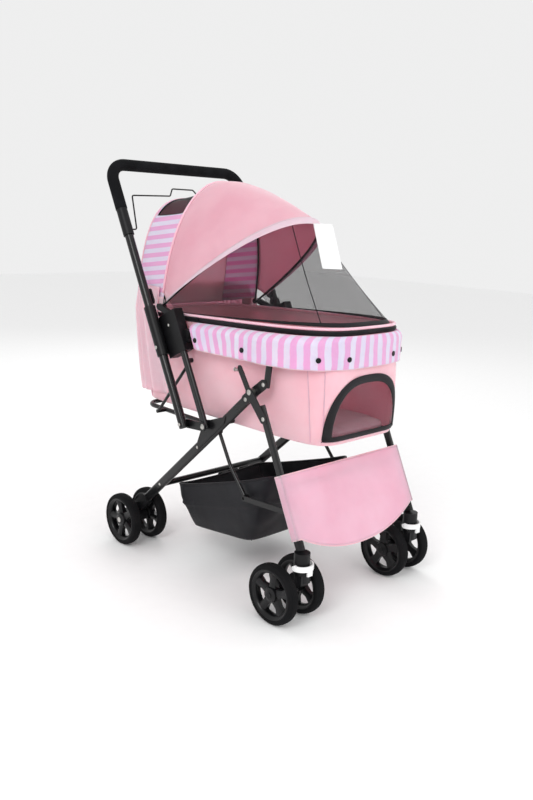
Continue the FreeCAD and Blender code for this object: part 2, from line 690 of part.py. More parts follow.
def along_handle(z, up, out):
    """Point beside the handle line: up along it and out behind it."""
    y0, z0 = handle_at(z)
    return y0 + HANDLE_DIR[0] * up + HANDLE_DIR[1] * out, z0 + HANDLE_DIR[1] * up - HANDLE_DIR[0] * out


def grip_collar():
    """Moulded collar under the grip, slotted for the release wire."""
    low = V(HANDLE_X, *handle_at(COLLAR_LOW))
    high = V(HANDLE_X, *handle_at(GRIP_END_Z))
    body = rod([low, high], 1, COLLAR_R).cut(rod([low, high], 1, HANDLE_R))
    slot = rod([V(HANDLE_IN - 1, *along_handle(WIRE_Z, -3, 0)),
                V(HANDLE_IN - 1, *along_handle(WIRE_Z, WIRE_TRAVEL + 3, 0))], 1, WIRE_R + 1.2)
    tunnel = slot.fuse([slot.translated(V(-4, 0, 0)), slot.translated(V(-8, 0, 0))])
    return body.cut(tunnel)


def release_wire():
    """Thin rod between the collars: it steps up beside each one and has a raised middle."""
    levels = ((HANDLE_IN - 1.5, 0), (HANDLE_IN - 18, 0), (HANDLE_IN - 34, 96), (50, 100),
              (36, 122), (-36, 122), (-50, 100), (34 - HANDLE_IN, 96), (18 - HANDLE_IN, 0),
              (1.5 - HANDLE_IN, 0))
    points = [V(x, *along_handle(WIRE_Z, up, 0)) for x, up in levels]
    return rod(points, 7.0, WIRE_R)


FOOT_COLLAR = along(HANDLE_FOOT, HANDLE_CORNER, 10.0)


def foot_plate():
    """Bar from the handle pivot to the foot of the handle tube."""
    plate = link(FOOT_PLATE_IN, FOOT_PLATE_OUT, HANDLE_PIVOT, FOOT_COLLAR, 22)
    plate = plate.cut(cylinder(200, 215, HANDLE_PIVOT, HANDLE_PIN_R + RUN_CLEAR))
    boss = cylinder(FOOT_PLATE_OUT, HANDLE_X, FOOT_COLLAR, 6.0)
    tube_space = rod(handle_route()[:2], 1, HANDLE_R)
    return plate.fuse(boss).cut(tube_space)


LATCH_LOW = 540.0
LATCH_HIGH = 655.0


def latch_collar():
    """Moulded sleeve on the handle tube that lies against the latch housing."""
    low = V(HANDLE_X, *handle_at(LATCH_LOW))
    high = V(HANDLE_X, *handle_at(LATCH_HIGH))
    body = rod([low, high], 1, HANDLE_R + 3.5).cut(rod([low, high], 1, HANDLE_R))
    return body.cut(block(0, HOUSING_OUT + PART_GAP, -200, 500, 400, 800))


SLIDER_LOW = 668.0


def latch_slider():
    """Release block on the handle tube, pulled up by the wire."""
    low = handle_at(SLIDER_LOW)
    high = handle_at(SLIDER_LOW + 24)
    x0, x1 = HANDLE_IN - 6.0, HANDLE_IN - PART_GAP
    return link(x0, x1, low, high, 14)


# ---------------------------------------------------------------- cabin and hood
DOOR_HALF = 108.0
DOOR_LOW = 408.0
DOOR_HIGH = 530.0
BINDING = 20.0


def door_prism(grow):
    """Arched prism through the cabin's front."""
    foot = (-420.0, DOOR_LOW)
    half = DOOR_HALF + grow
    height = DOOR_HIGH - DOOR_LOW + grow
    points = []
    for i in range(17):
        t = math.pi * i / 16
        c, s = math.cos(t), math.sin(t)
        points.append(V(half * math.copysign(abs(c) ** 0.72, c), foot[0], foot[1] + height * s ** 0.8))
    curve = Part.BSplineCurve()
    curve.interpolate(points)
    ring = Part.Wire([curve.toShape(), Part.LineSegment(points[-1], points[0]).toShape()])
    return Part.Face(ring).extrude(V(0, 160, 0))


def cabin_tub():
    outer = tub_solid(0, TUB_BASE_Z, RIM_Z)
    inner = tub_solid(-FABRIC, TUB_BASE_Z + FABRIC, RIM_Z + 4)
    return outer.cut(inner).cut(door_prism(0))


def door_mesh():
    skin = tub_solid(-0.8, TUB_BASE_Z, RIM_Z).cut(tub_solid(-FABRIC + 0.8, TUB_BASE_Z - 1, RIM_Z + 1))
    return skin.common(door_prism(0))


def door_binding():
    band = tub_solid(1.8, TUB_BASE_Z, RIM_Z).cut(tub_solid(0, TUB_BASE_Z - 1, RIM_Z + 1))
    ring = door_prism(BINDING).cut(door_prism(0))
    return band.common(ring)


def floor_board():
    rings = [outline(TUB_BASE_W - 7, TUB_BASE_L - 7, BASE_POWER, z, 0) for z in (FLOOR_Z, FLOOR_Z + 4)]
    return Part.makeLoft(rings, True, True)


FLOOR_Z = TUB_BASE_Z + FABRIC + 0.3
PAD_T = 22.0


def floor_pad():
    z0 = FLOOR_Z + 4
    rings = [outline(TUB_BASE_W - 9, TUB_BASE_L - 9, BASE_POWER, z, 0) for z in (z0, z0 + PAD_T)]
    return Part.makeLoft(rings, True, True)


PIPING_R = 3.0


def rim_piping():
    """Round cord on the rim's edge, made as two halves that meet end to end."""
    ring = outline(RIM_W - 1, TUB_L - 1, RIM_POWER, RIM_Z + PIPING_R + 0.2).Edges[0]
    halves = []
    middle = (ring.FirstParameter + ring.LastParameter) / 2
    for first, last in ((ring.FirstParameter, middle), (middle, ring.LastParameter)):
        path = ring.Curve.toShape(first, last)
        section = Part.Circle(path.valueAt(first), path.tangentAt(first), PIPING_R)
        halves.append(Part.Wire(path).makePipeShell([Part.Wire(section.toShape())], True, True))
    return Part.makeCompound(halves)


ZIP_LOW = RIM_Z - 12.0


def zipper_tape():
    outer = tub_solid(2.2, ZIP_LOW, RIM_Z)
    return outer.cut(tub_solid(0, ZIP_LOW - 1, RIM_Z + 1))


def flap_ring(width, reach, z, tilt=RIM_TILT):
    """Plan outline of the flap: rounded front, straight sides, square behind."""
    points = []
    for i in range(25):
        t = math.pi * i / 24
        x = width * math.copysign(abs(math.cos(t)) ** (2 / FLAP_POWER), math.cos(t))
        y = FLAP_YC - reach * abs(math.sin(t)) ** (2 / FLAP_POWER)
        points.append(V(x, y, z - tilt * y))
    curve = Part.BSplineCurve()
    curve.interpolate(points)
    back = FLAP_REAR_Y + 60
    corners = [points[-1], V(-width, back, z - tilt * back), V(width, back, z - tilt * back), points[0]]
    return Part.Wire([curve.toShape()] + Part.makePolygon(corners).Edges)


def flap_solid(grow, drop):
    top_w, top_l = RIM_W + 5.5 + grow, TUB_L + 5.5 - TUB_YC + FLAP_YC + grow
    rings = [flap_ring(FLAP_W + grow, FLAP_L + grow, FLAP_LOW_Z - drop, 0),
             flap_ring(FLAP_W + grow, FLAP_L + grow, FLAP_SHOULDER_Z - drop * 0.6),
             flap_ring(top_w, top_l, ZIP_LOW - 1.0 - drop * 0.6)]
    if drop > 0:
        rings.append(flap_ring(top_w, top_l, ZIP_LOW + 5.0))
    return Part.makeLoft(rings, True, True)


def striped_flap():
    """Snap-on cover: over the armrests at the sides, close to the cabin at the front."""
    shell = flap_solid(0, 0).cut(flap_solid(-2.5, 4.0))
    keep = slab(-300, 300, (-500, 500), (FLAP_REAR_Y - 30, 500), (FLAP_REAR_Y - 6, 590),
                (FLAP_REAR_Y, 700), (-500, 700))
    return shell.common(keep)


SNAP_SIDE_Y = (32.0, -136.0)
SNAP_FRONT_X = (146.0, 78.0)
SNAP_Z = 589.0
SNAP_R = 6.0


def flap_front_y(x):
    return FLAP_YC - FLAP_L * (1 - (abs(x) / FLAP_W) ** FLAP_POWER) ** (1 / FLAP_POWER)


def snap_buttons():
    """Press-stud caps on the flap, two on each side and two on each half of the front."""
    caps = []
    for y in SNAP_SIDE_Y:
        caps.append(cylinder(FLAP_W + 0.2, FLAP_W + 2.2, (y, SNAP_Z), SNAP_R))
    for x in SNAP_FRONT_X:
        rise = flap_front_y(x + 1) - flap_front_y(x - 1)
        out = V(rise, -2, 0).normalize()
        caps.append(Part.makeCylinder(SNAP_R, 2.0, V(x, flap_front_y(x), SNAP_Z) + out * 0.6, out))
    return both(*caps)


def hood_solid(grow, start, back_set):
    u = unit(HOOD_BACK_FOOT, HOOD_BACK_TOP)
    foot = (HOOD_BACK_FOOT[0] - back_set, HOOD_BACK_FOOT[1])
    top = (HOOD_BACK_TOP[0] - back_set, HOOD_BACK_TOP[1])
    low = (foot[0] - u[0] * 30, foot[1] - u[1] * 30)
    rings = [arch_wire(CANOPY_PIVOT, REAR_BOW_TOP, REAR_BOW_W, grow, start),
             arch_wire(foot if start > 5 else low, top, HOOD_BACK_W, grow, start, 3.4)]
    return Part.makeLoft(rings, True, True)


HOOD_T = 2.2
UNDER_BOW = -BOW_R - 0.5


def hood_shell():
    return hood_solid(UNDER_BOW, 12.0, 0).cut(hood_solid(UNDER_BOW - HOOD_T, 2.0, HOOD_T))


WINDOW = (-112.0, 112.0, 180.0, 285.0)


def window_cutter():
    return block(WINDOW[0], WINDOW[1], WINDOW[2], WINDOW[3], 900, 1000)


def rear_hood():
    return hood_shell().cut(window_cutter())


def rear_window():
    return hood_shell().common(window_cutter())


def curtain_solid(grow):
    rings = [outline(TUB_BASE_W + 7 + grow, 361.0 + grow, BASE_POWER, 420.0, 0),
             outline(RIM_W + 4 + grow, 351.0 + grow, 4.6, 622.0, 0)]
    return Part.makeLoft(rings, True, True)


def back_curtain():
    shell = curtain_solid(0).cut(curtain_solid(-2.5))
    return shell.common(block(-300, 300, 190, 500, 300, 700))


def canopy_panel():
    outer_rings = [arch_wire(CANOPY_PIVOT, REAR_BOW_TOP, REAR_BOW_W, 6.6, 34),
                   arch_wire(CANOPY_PIVOT, FRONT_BOW_TOP, FRONT_BOW_W, 8.4, 34)]
    inner_rings = [arch_wire(CANOPY_PIVOT, REAR_BOW_TOP, REAR_BOW_W, 4.4, 24),
                   arch_wire(CANOPY_PIVOT, FRONT_BOW_TOP, FRONT_BOW_W, 6.2, 24)]
    return Part.makeLoft(outer_rings, True, True).cut(Part.makeLoft(inner_rings, True, True))


def rim_u_wire(grow, z):
    """The cabin rim ahead of the canopy pivots, closed across."""
    width, length = RIM_W - 2 + grow, TUB_L - 2 + grow
    points = []
    for i in range(15):
        t = math.pi * i / 14
        c, s = math.cos(t), math.sin(t)
        x = width * math.copysign(abs(c) ** (2 / RIM_POWER), c)
        reach = length - TUB_YC + 150
        y = 150.0 - reach * abs(s) ** (2 / 2.6)
        points.append(V(x, y, rim_z(y, z)))
    curve = Part.BSplineCurve()
    curve.interpolate(points)
    return Part.Wire([curve.toShape(), Part.LineSegment(points[-1], points[0]).toShape()])


def mesh_cover():
    outer = Part.makeLoft([arch_wire(CANOPY_PIVOT, FRONT_BOW_TOP, FRONT_BOW_W, -3.4, 40),
                           rim_u_wire(0, RIM_Z + 7.0)], True, True)
    inner = Part.makeLoft([arch_wire(CANOPY_PIVOT, FRONT_BOW_TOP, FRONT_BOW_W, -5.0, 30),
                           rim_u_wire(-1.6, RIM_Z + 6.0)], True, True)
    return outer.cut(inner)


EYE_R = 7.0


def rear_bow():
    """Fixed wire arch over the back of the cabin, with an eye at each foot."""
    bow = bow_rod(CANOPY_PIVOT, REAR_BOW_TOP, REAR_BOW_W, 6.0)
    return bow_with_eyes(bow, REAR_BOW_W, BOW_PIN_R)


def canopy_bow():
    """Moving wire arch at the canopy's front edge, with an eye at each foot."""
    bow = bow_rod(CANOPY_PIVOT, FRONT_BOW_TOP, FRONT_BOW_W, 6.0)
    return bow_with_eyes(bow, FRONT_BOW_W, BOW_PIN_R + RUN_CLEAR)


BOW_PIN_R = 3.0


def bow_with_eyes(bow, x, hole_r):
    eye = cylinder(x - BOW_R, x + BOW_R, CANOPY_PIVOT, EYE_R)
    bow = bow.fuse([eye, flip(eye)])
    hole = cylinder(x - 9, x + 9, CANOPY_PIVOT, hole_r)
    return bow.cut(hole).cut(flip(hole))


def canopy_hinge():
    """Bracket on the latch housing with the pin that both bows hang on."""
    anchor = (128.0, 630.0)
    x0 = FRONT_BOW_W + BOW_R + PART_GAP
    arm = link(x0, HOUSING_IN, CANOPY_PIVOT, anchor, 16)
    pin = cylinder(REAR_BOW_W - BOW_R - 1.5, x0, CANOPY_PIVOT, BOW_PIN_R)
    head = cylinder(REAR_BOW_W - BOW_R - 2.5, REAR_BOW_W - BOW_R, CANOPY_PIVOT, 5.0)
    return arm.fuse([pin, head])


# ---------------------------------------------------------------- basket, brakes, small parts
BASKET_W_TOP = 158.0
BASKET_W_LOW = 140.0
BASKET_FLOOR = ((-128.0, 104.0), (104.0, 78.0))
BASKET_RIM = ((-190.0, 296.0), (160.0, 186.0))


def basket_solid(inset, floor_up, rim_up):
    low = [(BASKET_W_LOW - inset, BASKET_FLOOR[0][0] + inset, BASKET_FLOOR[0][1] + floor_up),
           (BASKET_W_LOW - inset, BASKET_FLOOR[1][0] - inset, BASKET_FLOOR[1][1] + floor_up)]
    high = [(BASKET_W_TOP - inset, BASKET_RIM[0][0] + inset, BASKET_RIM[0][1] + rim_up),
            (BASKET_W_TOP - inset, BASKET_RIM[1][0] - inset, BASKET_RIM[1][1] + rim_up)]
    rings = []
    for ring in (low, high):
        (w0, y0, z0), (w1, y1, z1) = ring
        rings.append(Part.makePolygon([V(w0, y0, z0), V(-w0, y0, z0), V(-w1, y1, z1),
                                       V(w1, y1, z1), V(w0, y0, z0)]))
    return Part.makeLoft(rings, True, True)


def basket():
    return basket_solid(0, 0, 0).cut(basket_solid(2.5, 2.5, 2.5))


def basket_straps():
    """Webbing tabs: one to the rear leg and one towards the front leg."""
    rear = block(BASKET_W_TOP, LEG_IN, 138, 158, 187, 189.5)
    front = slab(BASKET_W_TOP, BASKET_W_TOP + 2.5, (-190, 294), (-172, 289), (-172, 268), (-190, 270))
    bar = block(BASKET_W_TOP - 40, BASKET_W_TOP - 20, -266, -192, 292, 294.5)
    return rear, front, bar


PEDAL_PIVOT = (REAR_AXLE_Y + 26.0, WHEEL_R - 10.0)
PEDAL_PIN_R = 2.0


def brake_pedal():
    """Foot lever behind the rear axle, between the two wheels."""
    x0, x1 = TRACK_X - 20, TRACK_X + 20
    eye = cylinder(x0, x1, PEDAL_PIVOT, 5.0)
    tread = slab(x0, x1, (PEDAL_PIVOT[0] + 2, PEDAL_PIVOT[1] - 3), (PEDAL_PIVOT[0] + 34, PEDAL_PIVOT[1] + 8),
                 (PEDAL_PIVOT[0] + 33, PEDAL_PIVOT[1] + 13), (PEDAL_PIVOT[0], PEDAL_PIVOT[1] + 4))
    return eye.fuse(tread).cut(cylinder(x0 - 1, x1 + 1, PEDAL_PIVOT, PEDAL_PIN_R + RUN_CLEAR))


def pedal_bracket():
    """Pin and two cheeks on the rear hub that carry the brake pedal."""
    pin = cylinder(TRACK_X - 24, TRACK_X + 24, PEDAL_PIVOT, PEDAL_PIN_R)
    cheeks = []
    for x in (TRACK_X - 24, TRACK_X + 20.5):
        cheek = link(x, x + 3.5, (REAR_AXLE_Y + 8, WHEEL_R), PEDAL_PIVOT, 9)
        cheeks.append(cheek.cut(cylinder(TRACK_X - 40, TRACK_X + 40, (REAR_AXLE_Y, WHEEL_R), HUB_HOUSING_R)))
    return pin.fuse(cheeks)


ZIP_Y = 60.0


def zip_slider():
    """Zip slider with its pull, on the side of the rim."""
    z = rim_z(ZIP_Y, RIM_Z - 6)
    x = RIM_W + 2.8
    body = block(x, x + 3.5, ZIP_Y - 5, ZIP_Y + 5, z - 3.0, z + 4.0)
    pull = block(x + 1, x + 2.5, ZIP_Y - 2.5, ZIP_Y + 2.5, z + 4.0, z + 5.5)
    return body.fuse(pull)


def rear_rivets():
    """Nickel heads on the plates and tubes of the rear frame."""
    return [dome(PLATE_OUT, REAR_RIVET, 5.0, 2.0), dome(PLATE_OUT, ARM_RIVET, 5.0, 2.0),
            dome(LEG_OUT, rear_leg_at(24.0), 4.0, 1.6), dome(LEG_OUT, CROSSBAR, 4.0, 1.6),
            dome(HOUSING_OUT, (128.0, 615.0), 4.0, 1.6)]


def flat_head(x, yz, r, height):
    """Rivet head with a flat face and a chamfered rim, standing on a face at x."""
    head = cylinder(x, x + height, yz, r)
    rim = [edge for edge in head.Edges if edge.BoundBox.XMin > x + height / 2]
    return head.makeChamfer(height / 3, rim)


def handle_rivets():
    return [flat_head(HANDLE_X + HANDLE_R, FOOT_COLLAR, 4.5, 2.0),
            flat_head(HANDLE_X + HANDLE_R + 3.5, handle_at(560.0), 4.5, 2.0)]


# ---------------------------------------------------------------- the nodes
def rear_frame_nodes():
    pins = [fold_pin(), handle_pin(), brace_top_pin()] + rear_rivets()
    return {
        "rear_legs": both(rear_leg()),
        "rear_crossbar": rear_crossbar(),
        "rear_hubs": both(rear_hub().fuse(pedal_bracket())),
        "rear_axles": both(axle(REAR_AXLE_Y)),
        "armrests": both(armrest()),
        "rear_plates": both(rear_plate(), gusset()),
        "uprights": both(upright()),
        "latch_housings": both(latch_housing()),
        "seat_loop": seat_loop().fuse([loop_stay(), flip(loop_stay())]),
        "frame_pins": both(*pins),
    }


def cabin_nodes():
    return {
        "cabin_tub": cabin_tub(),
        "floor_board": floor_board(),
        "floor_pad": floor_pad(),
        "rim_piping": rim_piping(),
        "zipper_tape": zipper_tape(),
        "striped_flap": striped_flap(),
        "snap_buttons": snap_buttons(),
        "door_mesh": door_mesh(),
        "door_binding": door_binding(),
        "rear_hood": rear_hood(),
        "rear_window": rear_window(),
        "back_curtain": back_curtain(),
        "rear_bow": rear_bow(),
        "canopy_hinges": both(canopy_hinge()),
        "canopy_panel": canopy_panel(),
        "mesh_cover": mesh_cover(),
        "canopy_bow": canopy_bow(),
        "basket": Part.makeCompound([basket(), both(*basket_straps())]),
    }


def front_frame_nodes():
    return {
        "front_legs": both(front_leg()),
        "front_crossbar": front_crossbar(),
        "lock_arms": both(lock_arm()),
        "front_pins": both(lock_stud(), brace_foot_pin(), dome(LOCK_ARM_OUT, LOCK_LOW, 5.0, 2.0)),
        "front_panel": front_panel(),
        "caster_sockets": both(caster_socket()),
        "upper_braces": both(upper_brace(), knee_pin()),
        "lower_braces": both(lower_brace()),
    }


def handle_nodes():
    return {
        "handle_tube": handle_tube(),
        "foam_grip": foam_grip(),
        "handle_collars": both(grip_collar(), latch_collar()),
        "foot_plates": both(foot_plate()),
        "handle_rivets": both(*handle_rivets()),
        "release_wire": release_wire(),
    }


def moving_pairs():
    """Pieces that move on their own, one node for each side; left is -X."""
    nodes = {}
    caster = Part.makeCompound([caster_fork(), axle(FRONT_AXLE_Y)])
    singles = {"caster": caster, "lock_lever": lock_lever(CASTER_X), "brake_pedal": brake_pedal(),
               "latch_slider": latch_slider(), "zip_slider": zip_slider()}
    for name, shape in singles.items():
        nodes[name + "_right"] = shape
        nodes[name + "_left"] = flip(shape)
    for row, y in (("front", FRONT_AXLE_Y), ("rear", REAR_AXLE_Y)):
        for ring, x in (("outer", OUTER_WHEEL_X), ("inner", INNER_WHEEL_X)):
            nodes[row + "_wheel_right_" + ring] = wheel(x, y)
            nodes[row + "_wheel_left_" + ring] = wheel(-x, y)
    return nodes


def build():
    nodes = rear_frame_nodes()
    nodes.update(cabin_nodes())
    nodes.update(front_frame_nodes())
    nodes.update(handle_nodes())
    nodes.update(moving_pairs())
    return nodes


def export(nodes):
    os.makedirs("parts", exist_ok=True)
    for name, shape in nodes.items():
        shape.exportStep("parts/" + name + ".step")


export(build())
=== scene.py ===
# %% [markdown]
# # A folding pet stroller, dressed in Blender
# The frame of this stroller comes packed from the CAD model and stays where it is.  Here we sew its
# cloth, mould its wheels and give every tube, plate and rivet a finish.  Lengths below are in
# millimetres, because that is how a maker would cut them; one helper turns them into metres.

# %% Load the frame
import math

import bmesh
import bpy
import numpy as np
from mathutils import Matrix, Vector, noise


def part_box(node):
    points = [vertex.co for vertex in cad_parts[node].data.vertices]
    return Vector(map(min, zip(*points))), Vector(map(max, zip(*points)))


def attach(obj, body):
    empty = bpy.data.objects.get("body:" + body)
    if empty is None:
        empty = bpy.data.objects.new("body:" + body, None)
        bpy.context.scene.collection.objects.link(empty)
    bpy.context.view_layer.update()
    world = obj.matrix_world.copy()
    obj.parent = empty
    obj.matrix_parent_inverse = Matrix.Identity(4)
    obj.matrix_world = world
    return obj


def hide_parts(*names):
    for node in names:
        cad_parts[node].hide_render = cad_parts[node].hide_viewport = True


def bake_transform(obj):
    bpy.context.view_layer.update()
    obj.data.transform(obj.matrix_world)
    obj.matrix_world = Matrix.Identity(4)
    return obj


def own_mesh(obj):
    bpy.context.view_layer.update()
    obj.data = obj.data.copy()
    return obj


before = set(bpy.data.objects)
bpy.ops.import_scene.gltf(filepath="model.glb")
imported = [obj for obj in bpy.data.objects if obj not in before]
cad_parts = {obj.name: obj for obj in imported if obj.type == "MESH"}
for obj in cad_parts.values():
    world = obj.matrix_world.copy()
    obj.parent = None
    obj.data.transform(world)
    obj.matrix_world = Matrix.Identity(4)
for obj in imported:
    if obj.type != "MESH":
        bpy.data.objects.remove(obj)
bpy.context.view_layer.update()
MM = 0.001
TAU = 2 * math.pi

# %% [markdown]
# ## Helpers for sewn pieces
# A sewn panel is a curved sheet: each point has a place across and a place along.  We could model
# it face by face, or drape a plane over the frame.  A grid worked out from a formula is better
# here, because the seams then lie exactly on the bows and the rim.  The map on each grid is in
# metres of real cloth, so a stripe or a weave keeps its true size.


# %% Put a new mesh into the scene
def placed(name, mesh):
    piece = bpy.data.objects.new(name, mesh)
    bpy.context.scene.collection.objects.link(piece)
    return piece


# %% A grid of cloth from a formula
def cloth_grid(name, across, along, point, keep=None, ring=False):
    """A sheet whose point(u, v) is in millimetres, u and v from 0 to 1.

    keep(centre, u, v) leaves out the faces of an opening; ring joins the sheet's two sides.
    """
    columns = across if ring else across + 1
    place = np.array([[point(i / across, j / along) for i in range(columns)]
                      for j in range(along + 1)]) * MM
    loop = np.concatenate([place, place[:, :1]], axis=1) if ring else place
    step_u = np.linalg.norm(np.diff(loop, axis=1), axis=2).mean(axis=0)
    step_v = np.linalg.norm(np.diff(place, axis=0), axis=2).mean(axis=1)
    map_u = np.concatenate([[0], np.cumsum(step_u)])
    map_v = np.concatenate([[0], np.cumsum(step_v)])
    faces, maps = [], []
    for j in range(along):
        for i in range(across):
            k = (i + 1) % columns
            faces.append((j * columns + i, j * columns + k, (j + 1) * columns + k, (j + 1) * columns + i))
            maps.append([(map_u[i], map_v[j]), (map_u[i + 1], map_v[j]),
                         (map_u[i + 1], map_v[j + 1]), (map_u[i], map_v[j + 1])])
    flat = place.reshape(-1, 3)
    if keep is not None:
        chosen = [n for n, f in enumerate(faces)
                  if keep(flat[list(f)].mean(axis=0) / MM, (n % across + 0.5) / across,
                          (n // across + 0.5) / along)]
        faces, maps = [faces[n] for n in chosen], [maps[n] for n in chosen]
    mesh = bpy.data.meshes.new(name)
    mesh.from_pydata(flat.tolist(), [], faces)
    layer = mesh.uv_layers.new(name="cloth")
    for loop_uv, uv in zip(layer.data, [p for face in maps for p in face]):
        loop_uv.uv = uv
    tidy = bmesh.new()
    tidy.from_mesh(mesh)
    bmesh.ops.delete(tidy, geom=[v for v in tidy.verts if not v.link_faces], context="VERTS")
    tidy.to_mesh(mesh)
    tidy.free()
    mesh.polygons.foreach_set("use_smooth", [True] * len(mesh.polygons))
    piece = placed(name, mesh)
    corners = np.array([p for face in maps for p in face])
    piece["cut"] = [float(size) for size in corners.max(axis=0) - corners.min(axis=0)]
    piece["cloth_area"] = float(sum(p.area for p in mesh.polygons))
    return piece


def thicken(piece, thickness, offset=-1.0):
    """Gives the cloth its thickness, on its inner side unless told otherwise."""
    shell = piece.modifiers.new("cloth thickness", "SOLIDIFY")
    shell.thickness = thickness * MM
    shell.offset = offset
    bpy.context.view_layer.update()
    solid = bpy.data.meshes.new_from_object(piece.evaluated_get(bpy.context.evaluated_depsgraph_get()))
    piece.modifiers.clear()
    piece.data = solid
    return piece


# %% Round cords, welts and pipings along a line
def sewn_cord(name, points, radius, ring=False, sides=8):
    """A round welt that follows points, in millimetres."""
    line = [Vector(p) * MM for p in points]
    count = len(line)
    rings, faces = [], []
    side_way = Vector((0, 0, 1))
    for i, p in enumerate(line):
        ahead = line[(i + 1) % count] if ring or i < count - 1 else p
        behind = line[i - 1] if ring or i > 0 else p
        heading = (ahead - behind).normalized()
        side_way = (side_way - heading * side_way.dot(heading)).normalized()
        other = heading.cross(side_way)
        rings += [p + (side_way * math.cos(TAU * k / sides) + other * math.sin(TAU * k / sides)) * radius * MM
                  for k in range(sides)]
    last = count if ring else count - 1
    for i in range(last):
        j = (i + 1) % count
        faces += [(i * sides + k, j * sides + k, j * sides + (k + 1) % sides, i * sides + (k + 1) % sides)
                  for k in range(sides)]
    if not ring:
        faces += [tuple(range(sides)), tuple((count - 1) * sides + k for k in reversed(range(sides)))]
    mesh = bpy.data.meshes.new(name)
    mesh.from_pydata([tuple(p) for p in rings], [], faces)
    mesh.polygons.foreach_set("use_smooth", [True] * len(mesh.polygons))
    mesh.uv_layers.new(name="cloth")
    return placed(name, mesh)


def dress(piece, finish, body=None):
    """One finish and the body the piece rides on."""
    piece.data.materials.clear()
    piece.data.materials.append(finish)
    if body:
        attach(piece, body)
    return piece


def crease(x, y, z, size, depth):
    """How far cloth lies off its smooth surface at a point, in millimetres."""
    return depth * noise.noise(Vector((x, y, z)) / size)


# %% [markdown]
# ## Finishes
# Each finish is grown from noise and waves, with no picture behind it.  Cloth needs a weave, a
# soft sheen and slight unevenness in its dye; enamel on steel needs a clear gloss with faint orange
# peel; moulded plastic needs a fine grain.  Building them from a small set of node helpers keeps
# them easy to read and to repaint.


# %% Node helpers
def colour(red, green, blue):
    """A screen colour, 0 to 255, as the linear colour a shader wants."""
    parts = [(c / 255) for c in (red, green, blue)]
    return tuple(p / 12.92 if p <= 0.04045 else ((p + 0.055) / 1.055) ** 2.4 for p in parts) + (1.0,)


def new_finish(name):
    finish = bpy.data.materials.new(name)
    finish.use_nodes = True
    nodes = finish.node_tree.nodes
    return finish, nodes, finish.node_tree.links, nodes["Principled BSDF"]


def noise_at(nodes, links, coordinates, scale, detail=3.0):
    node = nodes.new("ShaderNodeTexNoise")
    node.inputs["Scale"].default_value = scale
    node.inputs["Detail"].default_value = detail
    links.new(coordinates, node.inputs["Vector"])
    return node.outputs["Fac"]


def two_tones(nodes, links, fac, first, second, low=0.35, high=0.65):
    ramp = nodes.new("ShaderNodeValToRGB")
    ramp.color_ramp.elements[0].position = low
    ramp.color_ramp.elements[0].color = first
    ramp.color_ramp.elements[1].position = high
    ramp.color_ramp.elements[1].color = second
    links.new(fac, ramp.inputs["Fac"])
    return ramp.outputs["Color"]


def bump(nodes, links, height, shader, distance, strength=1.0, below=None):
    node = nodes.new("ShaderNodeBump")
    node.inputs["Distance"].default_value = distance * MM
    node.inputs["Strength"].default_value = strength
    links.new(height, node.inputs["Height"])
    if below is not None:
        links.new(below, node.inputs["Normal"])
    links.new(node.outputs["Normal"], shader.inputs["Normal"])
    return node.outputs["Normal"]


def maths(nodes, links, operation, a, b=None):
    node = nodes.new("ShaderNodeMath")
    node.operation = operation
    for socket, value in zip(node.inputs, (a, b)):
        if value is None:
            continue
        if isinstance(value, (int, float)):
            socket.default_value = value
        else:
            links.new(value, socket)
    return node.outputs[0]


def threads(nodes, links, coordinates, pitch):
    """A plain weave: over and under threads at a pitch in millimetres."""
    split = nodes.new("ShaderNodeSeparateXYZ")
    links.new(coordinates, split.inputs["Vector"])
    turns = TAU / (pitch * MM)
    across = maths(nodes, links, "SINE", maths(nodes, links, "MULTIPLY", split.outputs["X"], turns))
    along = maths(nodes, links, "SINE", maths(nodes, links, "MULTIPLY", split.outputs["Y"], turns))
    return maths(nodes, links, "MULTIPLY", across, along)


